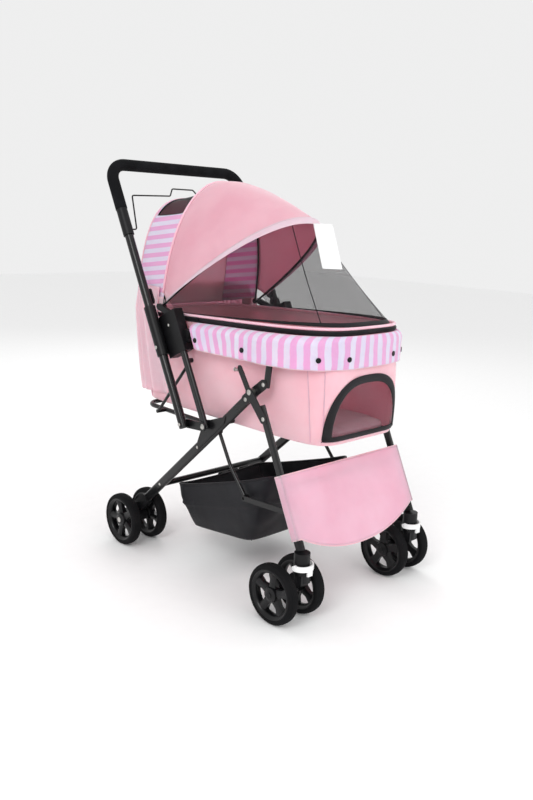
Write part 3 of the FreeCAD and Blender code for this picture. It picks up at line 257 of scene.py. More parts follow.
# %% Woven cloth, plain or striped
def woven(name, base, deep, pitch=1.6, stripe=None, stripe_along="X", period=23.0, tilt=0.0, rough=0.72,
          sheen=0.35, folds=1.0, place="UV", shine=0.4, wobble=0.0, glow=0.8):
    """Cloth with a weave, uneven dye and small folds; stripe adds a second colour in bands.

    glow is how much light passes into the cloth, so that its inside is lit through it.
    """
    finish, nodes, links, shader = new_finish(name)
    where = nodes.new("ShaderNodeTexCoord")
    room, cloth = where.outputs["Object"], where.outputs["UV"]
    dye = noise_at(nodes, links, room, 9.0)
    tone = two_tones(nodes, links, dye, deep, base)
    if stripe is not None:
        split = nodes.new("ShaderNodeSeparateXYZ")
        links.new(room if place == "Object" else cloth, split.inputs["Vector"])
        run = split.outputs[stripe_along]
        if tilt:
            run = maths(nodes, links, "ADD", run, maths(nodes, links, "MULTIPLY", split.outputs["Y"], tilt))
        if wobble:
            shift = maths(nodes, links, "MULTIPLY", noise_at(nodes, links, room, 22.0), wobble * 2)
            run = maths(nodes, links, "ADD", run, shift)
        wave = maths(nodes, links, "SINE", maths(nodes, links, "MULTIPLY", run, TAU / (period * MM)))
        edge = maths(nodes, links, "MULTIPLY_ADD", wave, 3.0)
        edge.node.inputs[2].default_value = 0.5
        edge.node.use_clamp = True
        mix = nodes.new("ShaderNodeMix")
        mix.data_type = "RGBA"
        links.new(edge, mix.inputs[0])
        links.new(tone, mix.inputs[6])
        mix.inputs[7].default_value = stripe
        tone = mix.outputs[2]
    links.new(tone, shader.inputs["Base Color"])
    shader.inputs["Roughness"].default_value = rough
    shader.inputs["Sheen Weight"].default_value = sheen
    shader.inputs["Sheen Roughness"].default_value = 0.4
    shader.inputs["Subsurface Weight"].default_value = glow
    shader.inputs["Subsurface Radius"].default_value = (1.0, 0.62, 0.68)
    shader.inputs["Subsurface Scale"].default_value = 9.0 * MM
    shader.inputs["Specular IOR Level"].default_value = shine
    fold = bump(nodes, links, noise_at(nodes, links, room, 16.0, 4.0), shader, 3.5 * folds, 0.55)
    bump(nodes, links, threads(nodes, links, cloth, pitch), shader, 0.12, 0.5, below=fold)
    return finish


# %% See-through mesh cloth
def netting(name, base, cover, pitch=2.4):
    """Black net: the threads are solid and the holes between them are clear."""
    finish, nodes, links, shader = new_finish(name)
    where = nodes.new("ShaderNodeTexCoord")
    weave = threads(nodes, links, where.outputs["UV"], pitch)
    holes = maths(nodes, links, "MULTIPLY_ADD", weave, 0.45)
    holes.node.inputs[2].default_value = cover
    holes.node.use_clamp = True
    links.new(holes, shader.inputs["Alpha"])
    room = where.outputs["Object"]
    tone = two_tones(nodes, links, noise_at(nodes, links, room, 12.0), base, colour(30, 28, 32))
    links.new(tone, shader.inputs["Base Color"])
    shader.inputs["Roughness"].default_value = 0.6
    shader.inputs["Specular IOR Level"].default_value = 0.2
    bump(nodes, links, noise_at(nodes, links, room, 14.0, 4.0), shader, 3.0, 0.5)
    return finish


# %% Enamel, plastic, metal and foam
def hard(name, base, worn, rough, grain, depth, metal=0.0, coat=0.0, patch=30.0, shine=0.25):
    """A hard finish: base colour with slightly worn patches, and a grain of a given scale."""
    finish, nodes, links, shader = new_finish(name)
    room = nodes.new("ShaderNodeTexCoord").outputs["Object"]
    patches = noise_at(nodes, links, room, patch, 4.0)
    links.new(two_tones(nodes, links, patches, base, worn, 0.45, 0.8), shader.inputs["Base Color"])
    spread = maths(nodes, links, "MULTIPLY_ADD", patches, 0.16)
    spread.node.inputs[2].default_value = rough - 0.08
    links.new(spread, shader.inputs["Roughness"])
    shader.inputs["Metallic"].default_value = metal
    shader.inputs["Specular IOR Level"].default_value = shine
    shader.inputs["Coat Weight"].default_value = coat
    shader.inputs["Coat Roughness"].default_value = 0.12
    bump(nodes, links, noise_at(nodes, links, room, grain, 2.0), shader, depth, 0.5)
    return finish


# %% [markdown]
# ## The shop's list of cloths and hard finishes
# With the recipes written, each material is one line.  Two close tones per cloth keep the dye from
# looking printed, and the blacks are a little lighter than black, because real ones are.

# %% Cloths
PINK = colour(246, 188, 197)
PINK_DEEP = colour(241, 179, 189)
pink_cloth = woven("pink cloth", PINK, PINK_DEEP, folds=1.6)
canopy_cloth = woven("canopy cloth", colour(236, 166, 179), colour(229, 156, 170), folds=1.2)
curtain_cloth = woven("curtain cloth", colour(246, 184, 196), colour(242, 177, 189), folds=1.8)
apron_cloth = woven("apron cloth", colour(231, 173, 190), colour(224, 163, 181), folds=1.0)
flap_cloth = woven("flap stripes", colour(226, 208, 232), colour(218, 198, 228), stripe=colour(236, 160, 204),
                   period=30.0, folds=2.4, wobble=0.006)
hood_cloth = woven("hood stripes", colour(220, 202, 230), colour(226, 208, 236), stripe=colour(236, 160, 204),
                   stripe_along="Z", tilt=0.12, period=23.0, place="Object")
piping_cloth = woven("pale piping", colour(246, 192, 206), colour(240, 182, 197), pitch=1.2, folds=0.3)
lining_cloth = woven("pad cloth", colour(238, 184, 198), colour(230, 172, 188))
nylon = woven("basket nylon", colour(26, 26, 31), colour(17, 17, 21), pitch=1.8, rough=0.5, sheen=0.02,
              shine=0.25, glow=0.0)
binding_cloth = woven("black binding", colour(24, 21, 27), colour(14, 12, 16), pitch=1.2, rough=0.5,
                      sheen=0.02, folds=0.3, shine=0.25, glow=0.0)
net = netting("black net", colour(16, 14, 18), 0.42)
window_net = netting("window net", colour(10, 8, 11), 0.9)
seam_cloth = woven("seam cloth", colour(232, 172, 190), colour(226, 164, 183), pitch=1.2, folds=0.3)

# %% Hard finishes
enamel = hard("black enamel", colour(10, 10, 12), colour(20, 20, 22), 0.3, 220.0, 0.01, coat=0.3)
plate_enamel = hard("plate enamel", colour(12, 12, 14), colour(23, 23, 26), 0.34, 200.0, 0.015, coat=0.2)
plastic = hard("black plastic", colour(12, 12, 14), colour(21, 21, 24), 0.42, 700.0, 0.03)
rim_plastic = hard("rim plastic", colour(10, 10, 12), colour(19, 19, 22), 0.34, 500.0, 0.02, coat=0.1)
tyre_foam = hard("tyre rubber", colour(15, 15, 17), colour(26, 25, 26), 0.78, 1000.0, 0.1, shine=0.12)
nickel = hard("nickel", colour(196, 194, 190), colour(160, 158, 154), 0.3, 600.0, 0.02, metal=1.0, shine=0.5)
white_plastic = hard("white plastic", colour(240, 240, 240), colour(222, 222, 222), 0.38, 800.0, 0.03,
                     shine=0.5)
grip_foam = hard("grip foam", colour(14, 15, 17), colour(26, 27, 30), 0.84, 900.0, 0.25, shine=0.12)
board = hard("floor board", colour(70, 60, 52), colour(96, 84, 72), 0.75, 160.0, 0.3)
card = hard("blank card", colour(250, 250, 250), colour(242, 246, 248), 0.5, 300.0, 0.02)
print("finishes made:", len(bpy.data.materials))

# %% [markdown]
# ## Finishes for the frame
# Legs, links and bows on the real stroller are bent steel tube under black enamel; the brackets are
# moulded; the rivets are bright nickel.  Their shapes are already right, so each only gets a finish.

# %% Give each frame part its finish
FINISHES = {
    enamel: ("rear_legs", "rear_crossbar", "armrests", "uprights", "seat_loop", "front_legs", "front_crossbar",
             "upper_braces", "lower_braces", "handle_tube", "rear_bow", "canopy_bow", "release_wire"),
    plate_enamel: ("rear_plates", "lock_arms", "foot_plates"),
    plastic: ("rear_hubs", "latch_housings", "caster_sockets", "handle_collars", "canopy_hinges", "caster_left",
              "caster_right", "brake_pedal_left", "brake_pedal_right", "latch_slider_left",
              "latch_slider_right", "snap_buttons", "zip_slider_left", "zip_slider_right"),
    nickel: ("rear_axles", "frame_pins", "front_pins", "handle_rivets"),
    white_plastic: ("lock_lever_left", "lock_lever_right"),
    grip_foam: ("foam_grip",),
    board: ("floor_board",),
}
for finish, names in FINISHES.items():
    for name in names:
        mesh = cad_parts[name].data
        mesh.materials.clear()
        mesh.materials.append(finish)
print("frame parts finished:", sum(len(names) for names in FINISHES.values()))

# %% [markdown]
# ## Wheels
# Each wheel is a soft tyre on a moulded five-spoke rim.  A tyre is turned, so we spin its section:
# that gives the rounded shoulders and the fine grooves of the tread in one go.  The spokes are
# tapered bars with a raised rib, joined to a dished hub.


# %% Turn a section about the axle
def turned(builder, section, spin=72):
    """Spins (x, r) points, in millimetres, into a closed ring."""
    rings = []
    for i in range(spin):
        a = TAU * i / spin
        rings.append([builder.verts.new((x * MM, r * MM * math.sin(a), r * MM * math.cos(a)))
                      for x, r in section])
    for i in range(spin):
        one, two = rings[i], rings[(i + 1) % spin]
        for k in range(len(section)):
            m = (k + 1) % len(section)
            builder.faces.new((one[k], one[m], two[m], two[k]))


WHEEL_R, TYRE_HALF, RIM_R = 70.0, 13.7, 58.0


def tyre_section():
    """Rounded shoulders and five grooves round the tread."""
    section = [(-TYRE_HALF + 1, RIM_R), (-TYRE_HALF, RIM_R + 3), (-TYRE_HALF + 0.6, RIM_R + 6.5)]
    steps = 44
    for i in range(steps + 1):
        x = (TYRE_HALF - 1.2) * (2 * i / steps - 1)
        crown = WHEEL_R - 5.0 * abs(x / TYRE_HALF) ** 3.2
        groove = 1.0 if i % 8 in (4, 5) else 0.0
        section.append((x, crown - groove))
    return section + [(TYRE_HALF - 0.6, RIM_R + 6.5), (TYRE_HALF, RIM_R + 3), (TYRE_HALF - 1, RIM_R)]


def ribbed(w, x):
    """Section of a spoke: half width w, half depth x, with a raised rib on one side."""
    return [(-x, -w), (-x, w), (x * 0.55, w), (x, w * 0.35), (x, -w * 0.35), (x * 0.55, -w)]


def spoke(builder, angle):
    """A tapered spoke with a rib down its middle, from the hub to the rim."""
    inner, outer, low_w, high_w = 14.0, 51.0, 10.5, 8.0
    turn = Matrix.Rotation(angle, 4, "X")
    rings = [[builder.verts.new(turn @ Vector((px * MM, py * MM, r * MM))) for px, py in ribbed(w, x)]
             for r, w, x in ((inner, low_w, 8.5), ((inner + outer) / 2, (low_w + high_w) / 2 - 1, 6.5),
                             (outer, high_w + 5.0, 8.5))]
    for one, two in zip(rings, rings[1:]):
        for k in range(6):
            m = (k + 1) % 6
            builder.faces.new((one[k], one[m], two[m], two[k]))


def mesh_from(builder, name, smooth_below=40.0):
    bmesh.ops.recalc_face_normals(builder, faces=builder.faces)
    mesh = bpy.data.meshes.new(name)
    builder.to_mesh(mesh)
    builder.free()
    mesh.polygons.foreach_set("use_smooth", [True] * len(mesh.polygons))
    mesh.set_sharp_from_angle(angle=math.radians(smooth_below))
    mesh.uv_layers.new(name="cloth")
    return mesh


# %% Tyre and rim meshes, shared by the eight wheels
builder = bmesh.new()
turned(builder, tyre_section())
tyre_mesh = mesh_from(builder, "tyre", 70.0)
builder = bmesh.new()
turned(builder, [(-12.4, 57.9), (12.4, 57.9), (13.0, 56.0), (11.6, 53.0), (9.0, 50.0), (5.0, 48.0),
                 (-5.0, 48.0), (-9.0, 50.0), (-11.6, 53.0), (-13.0, 56.0)])
turned(builder, [(-13.2, 4.3), (-13.2, 10.0), (-12.2, 12.0), (-11.2, 17.0), (-6.0, 19.0), (6.0, 19.0),
                 (11.2, 17.0), (12.2, 12.0), (13.2, 10.0), (13.2, 4.3)])
for i in range(5):
    spoke(builder, TAU * i / 5)
rim_mesh = mesh_from(builder, "rim")

SPOKE_TURN = 0.4          # each wheel stopped at its own angle
WHEELS = [f"{end}_wheel_{side}_{place}" for end in ("front", "rear") for side in ("left", "right")
          for place in ("outer", "inner")]
for number, wheel in enumerate(WHEELS):
    low, high = (Vector(c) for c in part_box(wheel))
    centre = (low + high) / 2
    facing = Matrix.Rotation(math.pi, 4, "Z") if centre.x < 0 else Matrix.Identity(4)
    for kind, mesh, finish, slot in (("tyre", tyre_mesh, tyre_foam, None),
                                     ("rim", rim_mesh, rim_plastic, "wheel_rim")):
        piece = placed(f"{wheel}_{kind}", mesh.copy())
        piece.matrix_world = Matrix.Translation(centre) @ facing @ Matrix.Rotation(SPOKE_TURN * number, 4, "X")
        dress(piece, finish, wheel)
        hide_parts(wheel)
print("wheels turned:", len(WHEELS))

# %% [markdown]
# ## The cabin
# The cabin is a deep tub of padded pink cloth with a rounded plan.  It could be cut from a box, but
# cloth over a board never has straight walls, so we raise it ring by ring from a rounded outline
# and let each wall belly out a little between its seams.

# %% Outline of the cabin at any height
BASE_Z, RIM_Z, YC = 390.0, 641.0, -9.0     # floor and rim heights, and the middle along Y
RIM_W, RIM_L, RIM_POWER = 165.0, 341.0, 3.9
TILT = 0.03                                # the rim falls this much per unit of Y


def between(a, b, share):
    return a + (b - a) * share


def rounded(value, power):
    return math.copysign(abs(value) ** (2 / power), value)


def tub_size(share):
    return between(146.0, RIM_W, share), between(336.0, RIM_L, share), between(7.0, RIM_POWER, share)


def tub_point(turn, share, out=0.0):
    """A point on the cabin wall: turn goes round from +X, share goes up from base to rim."""
    width, length, power = tub_size(share)
    belly = 3.0 * math.sin(math.pi * min(1.0, share)) + out
    a = TAU * turn
    x = (width + belly) * rounded(math.cos(a), power)
    y = YC + (length + belly) * rounded(math.sin(a), power)
    return x, y, BASE_Z + (RIM_Z - BASE_Z) * share - TILT * share * y


def front_y(x, share, out=0.0):
    """How far forward the front wall is at a place across."""
    width, length, power = tub_size(share)
    belly = 3.0 * math.sin(math.pi * share) + out
    side = min(1.0, abs(x) / (width + belly))
    return YC - (length + belly) * (1 - side ** power) ** (1 / power)


# %% [markdown]
# ## The arched door
# The front has a low arched opening with a net and a black bound edge.  A boolean cut would leave a
# ragged rim in thin cloth, so one formula gives the arch: the wall leaves out the faces inside it,
# the net fills it, and the binding follows it and hides the edge.

# %% Door arch
DOOR_HALF, DOOR_LOW, DOOR_HIGH, BINDING = 108.0, 408.0, 530.0, 18.0
ARCH_SIDE, ARCH_CROWN = 0.72, 0.8          # how full the arch is at its sides and its crown
NET_TUCK = 6.0                             # the net runs this far under the binding


def door_edge(t, grow):
    """A point on the door's arch, t from 0 to 1, grown outwards."""
    a = math.pi * t
    x = (DOOR_HALF + grow) * math.copysign(abs(math.cos(a)) ** ARCH_SIDE, math.cos(a))
    return x, DOOR_LOW + (DOOR_HIGH - DOOR_LOW + grow) * math.sin(a) ** ARCH_CROWN


def door_top(x, grow):
    """How high the arch is at a place across."""
    c = min(1.0, (abs(x) / (DOOR_HALF + grow)) ** (1 / ARCH_SIDE))
    return DOOR_LOW + (DOOR_HIGH - DOOR_LOW + grow) * (1 - c * c) ** (ARCH_CROWN / 2)


def in_door(x, z, grow=0.0):
    if abs(x) >= DOOR_HALF + grow or z < DOOR_LOW:
        return False
    return z < door_top(x, grow)


# %% Cabin wall and floor
FLOOR_SHARE = 0.12        # the share of the grid's rows that makes the floor


def wall_point(u, v):
    if v < FLOOR_SHARE:
        shrink = v / FLOOR_SHARE
        x, y, z = tub_point(u, 0.0)
        return x * shrink * 0.985, YC + (y - YC) * shrink * 0.985, z + 2.0
    share = (v - FLOOR_SHARE) / (1 - FLOOR_SHARE)
    x, y, z = tub_point(u, share)
    rounding = 5.0 * math.exp(-share * 22)
    length = math.hypot(x, y - YC)
    push = crease(x, y, z, 70.0, 2.2) * math.sin(math.pi * share) - rounding
    return x + x / length * push, y + (y - YC) / length * push, z


cabin = cloth_grid("cabin_wall", 240, 60, wall_point, ring=True,
                   keep=lambda c, u, v: not (c[1] < -250 and in_door(c[0], c[2], 4.0)))
thicken(cabin, 2.5)
dress(cabin, pink_cloth, "rear_frame")
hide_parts("cabin_tub")
print("cabin wall:", len(cabin.data.polygons), "faces")


# %% [markdown]
# ## Cabin seams, door net and binding
# Panels meet in upright seams, which show as thin raised lines.  Each is a fine cord laid on the
# wall's own formula, so it can't float.

# %% Upright seams of the cabin
for number, turn in enumerate((0.11, 0.39, 0.61, 0.66, 0.84, 0.89)):
    upright = [tub_point(turn, 0.04 + 0.9 * i / 30, 0.2) for i in range(31)]
    seam = sewn_cord(f"cabin_seam_{number}", upright, 1.1)
    dress(seam, seam_cloth, "rear_frame")


# %% Door net and its black binding
def share_at(z, y=-345.0):
    return (z - BASE_Z) / (RIM_Z - BASE_Z - TILT * y)


def door_net_point(u, v):
    x = (DOOR_HALF + NET_TUCK) * (2 * u - 1)
    z = between(DOOR_LOW - 4, max(door_top(x, NET_TUCK), DOOR_LOW), v)
    return x, front_y(x, share_at(z), -1.2) + 1.5 * math.sin(math.pi * u), z


door = cloth_grid("door_net", 48, 32, door_net_point)
dress(door, net, "rear_frame")
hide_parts("door_mesh")


def binding_point(u, v):
    x, z = door_edge(u, BINDING * v)
    return x, front_y(x, share_at(z), 1.0 + 1.4 * math.sin(math.pi * v)), z


binding = cloth_grid("door_binding_tape", 64, 6, binding_point)
thicken(binding, 1.0)
dress(binding, binding_cloth, "rear_frame")
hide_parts("door_binding")


def sill_point(u, v):
    x = (DOOR_HALF + BINDING) * (2 * u - 1)
    z = DOOR_LOW - 5 + 12 * v
    return x, front_y(x, share_at(z), 1.0 + 1.2 * math.sin(math.pi * v)), z


sill = cloth_grid("door_sill", 32, 5, sill_point)
thicken(sill, 1.0)
dress(sill, binding_cloth, "rear_frame")
print("door: net", len(door.data.polygons), "faces, binding", len(binding.data.polygons), "faces")

# %% [markdown]
# ## The rim: piping, zip and striped flap
# A pale welt finishes the cabin's edge.  Under it a black zip runs all round, and a striped flap is
# snapped over the armrests.  The welt is a swept cord, the zip is a tape with separate teeth, and
# the flap is a grid that bends over the armrest and hangs down.


# %% Rim piping and zip
def rim_point(turn, z, grow):
    a = TAU * turn
    x = (RIM_W + grow) * rounded(math.cos(a), RIM_POWER)
    y = YC + (RIM_L + grow) * rounded(math.sin(a), RIM_POWER)
    return x, y, z - TILT * y


piping = sewn_cord("rim_welt", [rim_point(i / 240, RIM_Z + 3.2, -1.0) for i in range(240)], 3.4, ring=True)
dress(piping, piping_cloth, "rear_frame")
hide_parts("rim_piping")

tape = cloth_grid("zip_tape_band", 240, 4, lambda u, v: rim_point(u, between(RIM_Z - 12, RIM_Z, v),
                                                                  1.2 + 1.0 * math.sin(math.pi * v)), ring=True)
thicken(tape, 0.8)
dress(tape, binding_cloth, "rear_frame")
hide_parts("zipper_tape")


def teeth(name, count, place, size):
    """A row of small moulded zip teeth, two staggered lines."""
    row = bmesh.new()
    for i in range(count):
        x, y, z = place(i / count)
        nx, ny, _ = place((i + 0.5) / count)
        heading = math.atan2(ny - y, nx - x)
        lift = 1.0 if i % 2 else -1.0
        made = bmesh.ops.create_cube(row, size=1.0)["verts"]
        shape = (Matrix.Translation(Vector((x, y, z + lift)) * MM) @ Matrix.Rotation(heading, 4, "Z")
                 @ Matrix.Diagonal(Vector(size) * MM).to_4x4())
        bmesh.ops.transform(row, matrix=shape, verts=made)
    return placed(name, mesh_from(row, name))


zip_teeth = teeth("zip_teeth", 700, lambda t: rim_point(t, RIM_Z - 6, 2.4), (1.5, 1.3, 2.2))
dress(zip_teeth, plastic, "rear_frame")
print("zip teeth:", len(zip_teeth.data.polygons) // 6)

# %% [markdown]
# ## The striped flap
# The flap hides the armrests and is held by snaps.  It leaves the rim nearly level, rolls over the
# armrest and hangs, and it is gathered a little, so its hem waves.

# %% Striped flap over the armrests
FLAP_W, FLAP_YC, FLAP_REACH, FLAP_REAR = 197.0, -150.0, 208.0, 57.0


def flap_point(u, drop):
    """u runs along the flap from its left rear end round the front; drop goes down from the rim."""
    bend = min(1.0, drop / 0.42)
    width = between(170.5, FLAP_W, math.sin(bend * math.pi / 2))
    reach = between(205.5, FLAP_REACH, bend)
    side_run = 0.26
    rear = FLAP_REAR - 26.0 * drop ** 2
    if u < side_run or u > 1 - side_run:
        along = min(u, 1 - u) / side_run
        y = between(rear, FLAP_YC, along)
        x = -width if u < 0.5 else width
    else:
        a = math.pi * (u - side_run) / (1 - 2 * side_run)
        x = -width * rounded(math.cos(a), 3.0)
        y = FLAP_YC - reach * abs(math.sin(a)) ** (2 / 3.0)
    top, low = 628.0 - TILT * y, 567.0
    hang = 1 - math.cos(min(1.0, drop * 1.05) * math.pi / 2)
    z = between(top, low, 0.16 * drop + 0.84 * hang)
    gather = -1.6 * (1 + math.sin(TAU * u * 17)) * drop ** 2
    away = math.hypot(x, y - FLAP_YC)
    return x + x / away * gather, y + (y - FLAP_YC) / away * gather * 0.5, z


flap = cloth_grid("striped_flap_cover", 200, 18, flap_point)
thicken(flap, 1.6)
dress(flap, flap_cloth, "rear_frame")
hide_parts("striped_flap")
hem = sewn_cord("flap_hem", [flap_point(i / 200, 1.0) for i in range(201)], 1.8)
dress(hem, piping_cloth, "rear_frame")

# %% [markdown]
# ## Hood, curtain and canopy
# Two wire bows carry the top.  Behind the rear bow is a striped hood with a net window, and a pink
# curtain hangs below it.  Between the bows lies the canopy, one curved sheet that must fold when
# the front bow swings back.

# %% Arches
PIVOT = (205.0, 652.0)
REAR_TOP, REAR_W = (163.0, 964.0), 161.0
FRONT_TOP, FRONT_W = (-128.0, 882.0), 168.0
BACK_FOOT, BACK_TOP, BACK_W = (338.0, 640.0), (292.0, 925.0), 150.0
BOW_POWER, BACK_POWER = 2.3, 3.4           # 2 is an ellipse, more is squarer
CANOPY_LIFT = 34.0                         # the canopy ends this far above the bow pivots


def arch(foot, top, width, power, t, lift=0.0, out=0.0):
    """A point over a tilted arch, t from 0 to 1; lift cuts off its feet, out stands off it."""
    height = math.dist(foot, top)
    uy, uz = (top[0] - foot[0]) / height, (top[1] - foot[1]) / height
    first = math.asin((lift / height) ** (power / 2)) if lift else 0.0
    a = between(first, math.pi - first, t)
    h = (height + out) * abs(math.sin(a)) ** (2 / power)
    return (width + out) * rounded(math.cos(a), power), foot[0] + uy * h, foot[1] + uz * h


def rear_arch(t, out=0.0, lift=0.0):
    return arch(PIVOT, REAR_TOP, REAR_W, BOW_POWER, t, lift, out)


def front_arch(t, out=0.0, lift=0.0):
    return arch(PIVOT, FRONT_TOP, FRONT_W, BOW_POWER, t, lift, out)


# %% [markdown]
# ## Hood and window
# The hood spans from the rear bow to its own back edge, with a slight sag.  Its window is sewn in, so
# both are cut from one grid: the hood leaves out the window's faces, and a bound edge covers the join.

# %% Striped hood with its net window
def hood_point(u, v):
    a, b = rear_arch(u, -3.6, 10.0), arch(BACK_FOOT, BACK_TOP, BACK_W, BACK_POWER, u)
    x, y, z = (between(p, q, v) for p, q in zip(a, b))
    high = abs(math.sin(math.pi * u))
    sag = -4.0 * math.sin(math.pi * v) * high
    return x, y, z + sag + crease(x, y, z, 60.0, 1.5) * math.sin(math.pi * v)


HOOD_ACROSS, HOOD_ALONG = 120, 32
WINDOW_U = (32 / HOOD_ACROSS, 88 / HOOD_ACROSS)
WINDOW_V = (2 / HOOD_ALONG, 30 / HOOD_ALONG)


def in_window(c, u, v):
    return WINDOW_U[0] < u < WINDOW_U[1] and WINDOW_V[0] < v < WINDOW_V[1]


hood = cloth_grid("striped_hood", HOOD_ACROSS, HOOD_ALONG, hood_point,
                  keep=lambda c, u, v: not in_window(c, u, v))
thicken(hood, 1.6)
dress(hood, hood_cloth, "rear_frame")
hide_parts("rear_hood")
window = cloth_grid("hood_window_net", HOOD_ACROSS, HOOD_ALONG, hood_point, keep=in_window)
dress(window, window_net, "rear_frame")
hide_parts("rear_window")
(left, right), (near, far) = WINDOW_U, WINDOW_V
around = ([(between(left, right, i / 24), near) for i in range(25)]
          + [(right, between(near, far, i / 8)) for i in range(1, 9)]
          + [(between(right, left, i / 24), far) for i in range(1, 25)]
          + [(left, between(far, near, i / 8)) for i in range(1, 9)])
window_binding = sewn_cord("hood_window_binding", [hood_point(u, v) for u, v in around], 2.0)
dress(window_binding, binding_cloth, "rear_frame")
back_edge = [arch(BACK_FOOT, BACK_TOP, BACK_W, BACK_POWER, i / 60, out=1.0) for i in range(61)]
back_welt = sewn_cord("hood_back_welt", back_edge, 2.6)
dress(back_welt, piping_cloth, "rear_frame")
print("hood:", len(hood.data.polygons), "faces, window:", len(window.data.polygons), "faces")

# %% [markdown]
# ## Back panel and curtain
# A flat panel closes the hood, and two small skirts close the corners between hood and rim.  The
# curtain below is gathered cloth, so its folds are a wave that grows towards the hem.

# %% Back panel that closes the hood
def back_panel_point(u, v):
    x, y, z = arch(BACK_FOOT, BACK_TOP, BACK_W - 1.0, BACK_POWER, u)
    depth = (z - BACK_FOOT[1]) * (1 - v)
    y = BACK_FOOT[0] - (BACK_FOOT[0] - BACK_TOP[0]) * depth / (BACK_TOP[1] - BACK_FOOT[1])
    billow = 5.0 * math.sin(math.pi * u) * math.sin(math.pi * v)
    billow += crease(x, 0.0, depth, 50.0, 4.0) * (v * (1 - v) * 4)
    return x, y + billow - 2.0, BACK_FOOT[1] + depth


back_panel = cloth_grid("hood_back_panel", 80, 24, back_panel_point)
thicken(back_panel, 1.4, 0.0)
dress(back_panel, pink_cloth, "rear_frame")
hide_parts("rear_hood")
for number, hand in enumerate((-1, 1)):
    skirt = cloth_grid(f"hood_skirt_{number}", 8, 6, lambda u, v, hand=hand:
                       (hand * between(162.0, 164.5, v), between(200.0, 262.0, u), between(676.0, 636.0, v)))
    thicken(skirt, 1.2, 0.0)
    dress(skirt, pink_cloth, "rear_frame")


# %% Curtain behind the cabin
def curtain_point(u, v):
    upper, lower = min(1.0, v / 0.22), max(0.0, (v - 0.22) / 0.78)
    width, length, power, height = (
        between(top, middle, upper) + (foot - middle) * lower
        for top, middle, foot in ((160.0, 167.0, 153.0), (346.0, 354.0, 361.0), (16.0, 14.0, 7.0),
                                  (700.0, 640.0, 420.0)))
    edge_y = between(224.0, 190.0, min(1.0, max(0.0, (v - 0.26) / 0.08)))
    first = math.asin(((edge_y - YC) / length) ** (power / 2))
    a = between(first, math.pi - first, u)
    fold = 3.4 * math.sin(TAU * u * 13 + 0.8 * math.sin(9 * u)) * (0.25 + v)
    x = (width + fold) * rounded(math.cos(a), power)
    y = YC + (length + fold * 0.7) * abs(math.sin(a)) ** (2 / power)
    return x, y, height - 8.0 * math.sin(math.pi * u) * v * v


curtain = cloth_grid("rear_curtain", 160, 30, curtain_point)
thicken(curtain, 1.5)
dress(curtain, curtain_cloth, "rear_frame")
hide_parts("back_curtain")


# %% [markdown]
# ## The canopy
# Cloth stretched over two bows curves both ways.  Points between the bows are pushed out from the
# pivots to give that swell.

# %% Canopy sheet
def canopy_point(u, v):
    a, b = rear_arch(u, 4.5, CANOPY_LIFT), front_arch(u, 6.0, CANOPY_LIFT)
    x, y, z = (between(p, q, v) for p, q in zip(a, b))
    high = max(0.0, math.sin(math.pi * u)) ** 0.8
    swell = 21.0 * math.sin(math.pi * v ** 0.72) * high
    ry, rz = y - PIVOT[0], z - PIVOT[1]
    reach = math.hypot(ry, rz)
    pucker = crease(x * 0.8, y, z * 0.4, 55.0, 2.4) * math.sin(math.pi * v)
    push = swell + pucker
    return x, y + ry / reach * push, z + rz / reach * push


canopy = cloth_grid("canopy_sheet", 120, 40, canopy_point)
thicken(canopy, 1.4, 0.0)
dress(canopy, canopy_cloth)
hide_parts("canopy_panel")


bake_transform(canopy)

rear_welt = sewn_cord("canopy_rear_welt", [rear_arch(i / 90, 6.5, CANOPY_LIFT) for i in range(91)], 3.2)
dress(rear_welt, piping_cloth, "rear_frame")


def edge_point(u, v):
    """A folded band over the front bow: over the top, round the edge and a little way under."""
    wrap = between(-0.034, 0.010, min(1.0, v / 0.75))
    x, y, z = front_arch(u, 8.2 - 1.6 * v, CANOPY_LIFT)
    ry, rz = y - PIVOT[0], z - PIVOT[1]
    return x, y + rz * wrap, z - ry * wrap - (4.0 if v > 0.99 else 0.0)


edge_band = cloth_grid("canopy_edge_band", 120, 8, edge_point)
thicken(edge_band, 1.2, 0.0)
dress(edge_band, piping_cloth, "canopy_bow")


# %% [markdown]
# ## Net cover
# A black net closes the front between the bow and the cabin rim.  It is a taut sheet with darker
# sewn seams, and it gives when the bow is raised.


# %% Net cover with its seams
def cover_point(u, v):
    ax, ay, az = front_arch(u, -4.0, 30.0)
    a = math.pi * u
    x = (RIM_W - 2.0) * rounded(math.cos(a), RIM_POWER)
    y = 150.0 - 498.0 * abs(math.sin(a)) ** (2 / 2.6)
    z = 648.0 - TILT * y
    px, py, pz = between(ax, x, v), between(ay, y, v), between(az, z, v)
    slack = 5.0 * math.sin(math.pi * v) * math.sin(math.pi * u)
    return px, py + slack, pz - slack


cover = cloth_grid("front_net", 120, 36, cover_point)
dress(cover, net)
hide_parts("mesh_cover")
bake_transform(cover)
for number, mirror in enumerate((-1, 1)):
    seam = cloth_grid(f"net_seam_{number}", 2, 36, lambda p, v, mirror=mirror:
                      cover_point(0.5 + mirror * between(0.06, 0.16, v) + (p - 0.5) * 0.0035, v))
    thicken(seam, 1.2, 0.0)
    dress(seam, binding_cloth)
    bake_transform(seam)
cover_edge = cloth_grid("net_edge", 120, 3, lambda u, v: cover_point(u, 0.962 + 0.038 * v))
thicken(cover_edge, 1.6, 0.0)
dress(cover_edge, binding_cloth)
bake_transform(cover_edge)

# %% [markdown]
# ## Swing tag
# A new stroller still has its card tag.  It is left blank, and rests against the slope of the net.

# %% Blank swing tag tied to the canopy edge
TAG_W, TAG_L = 46.0, 112.0


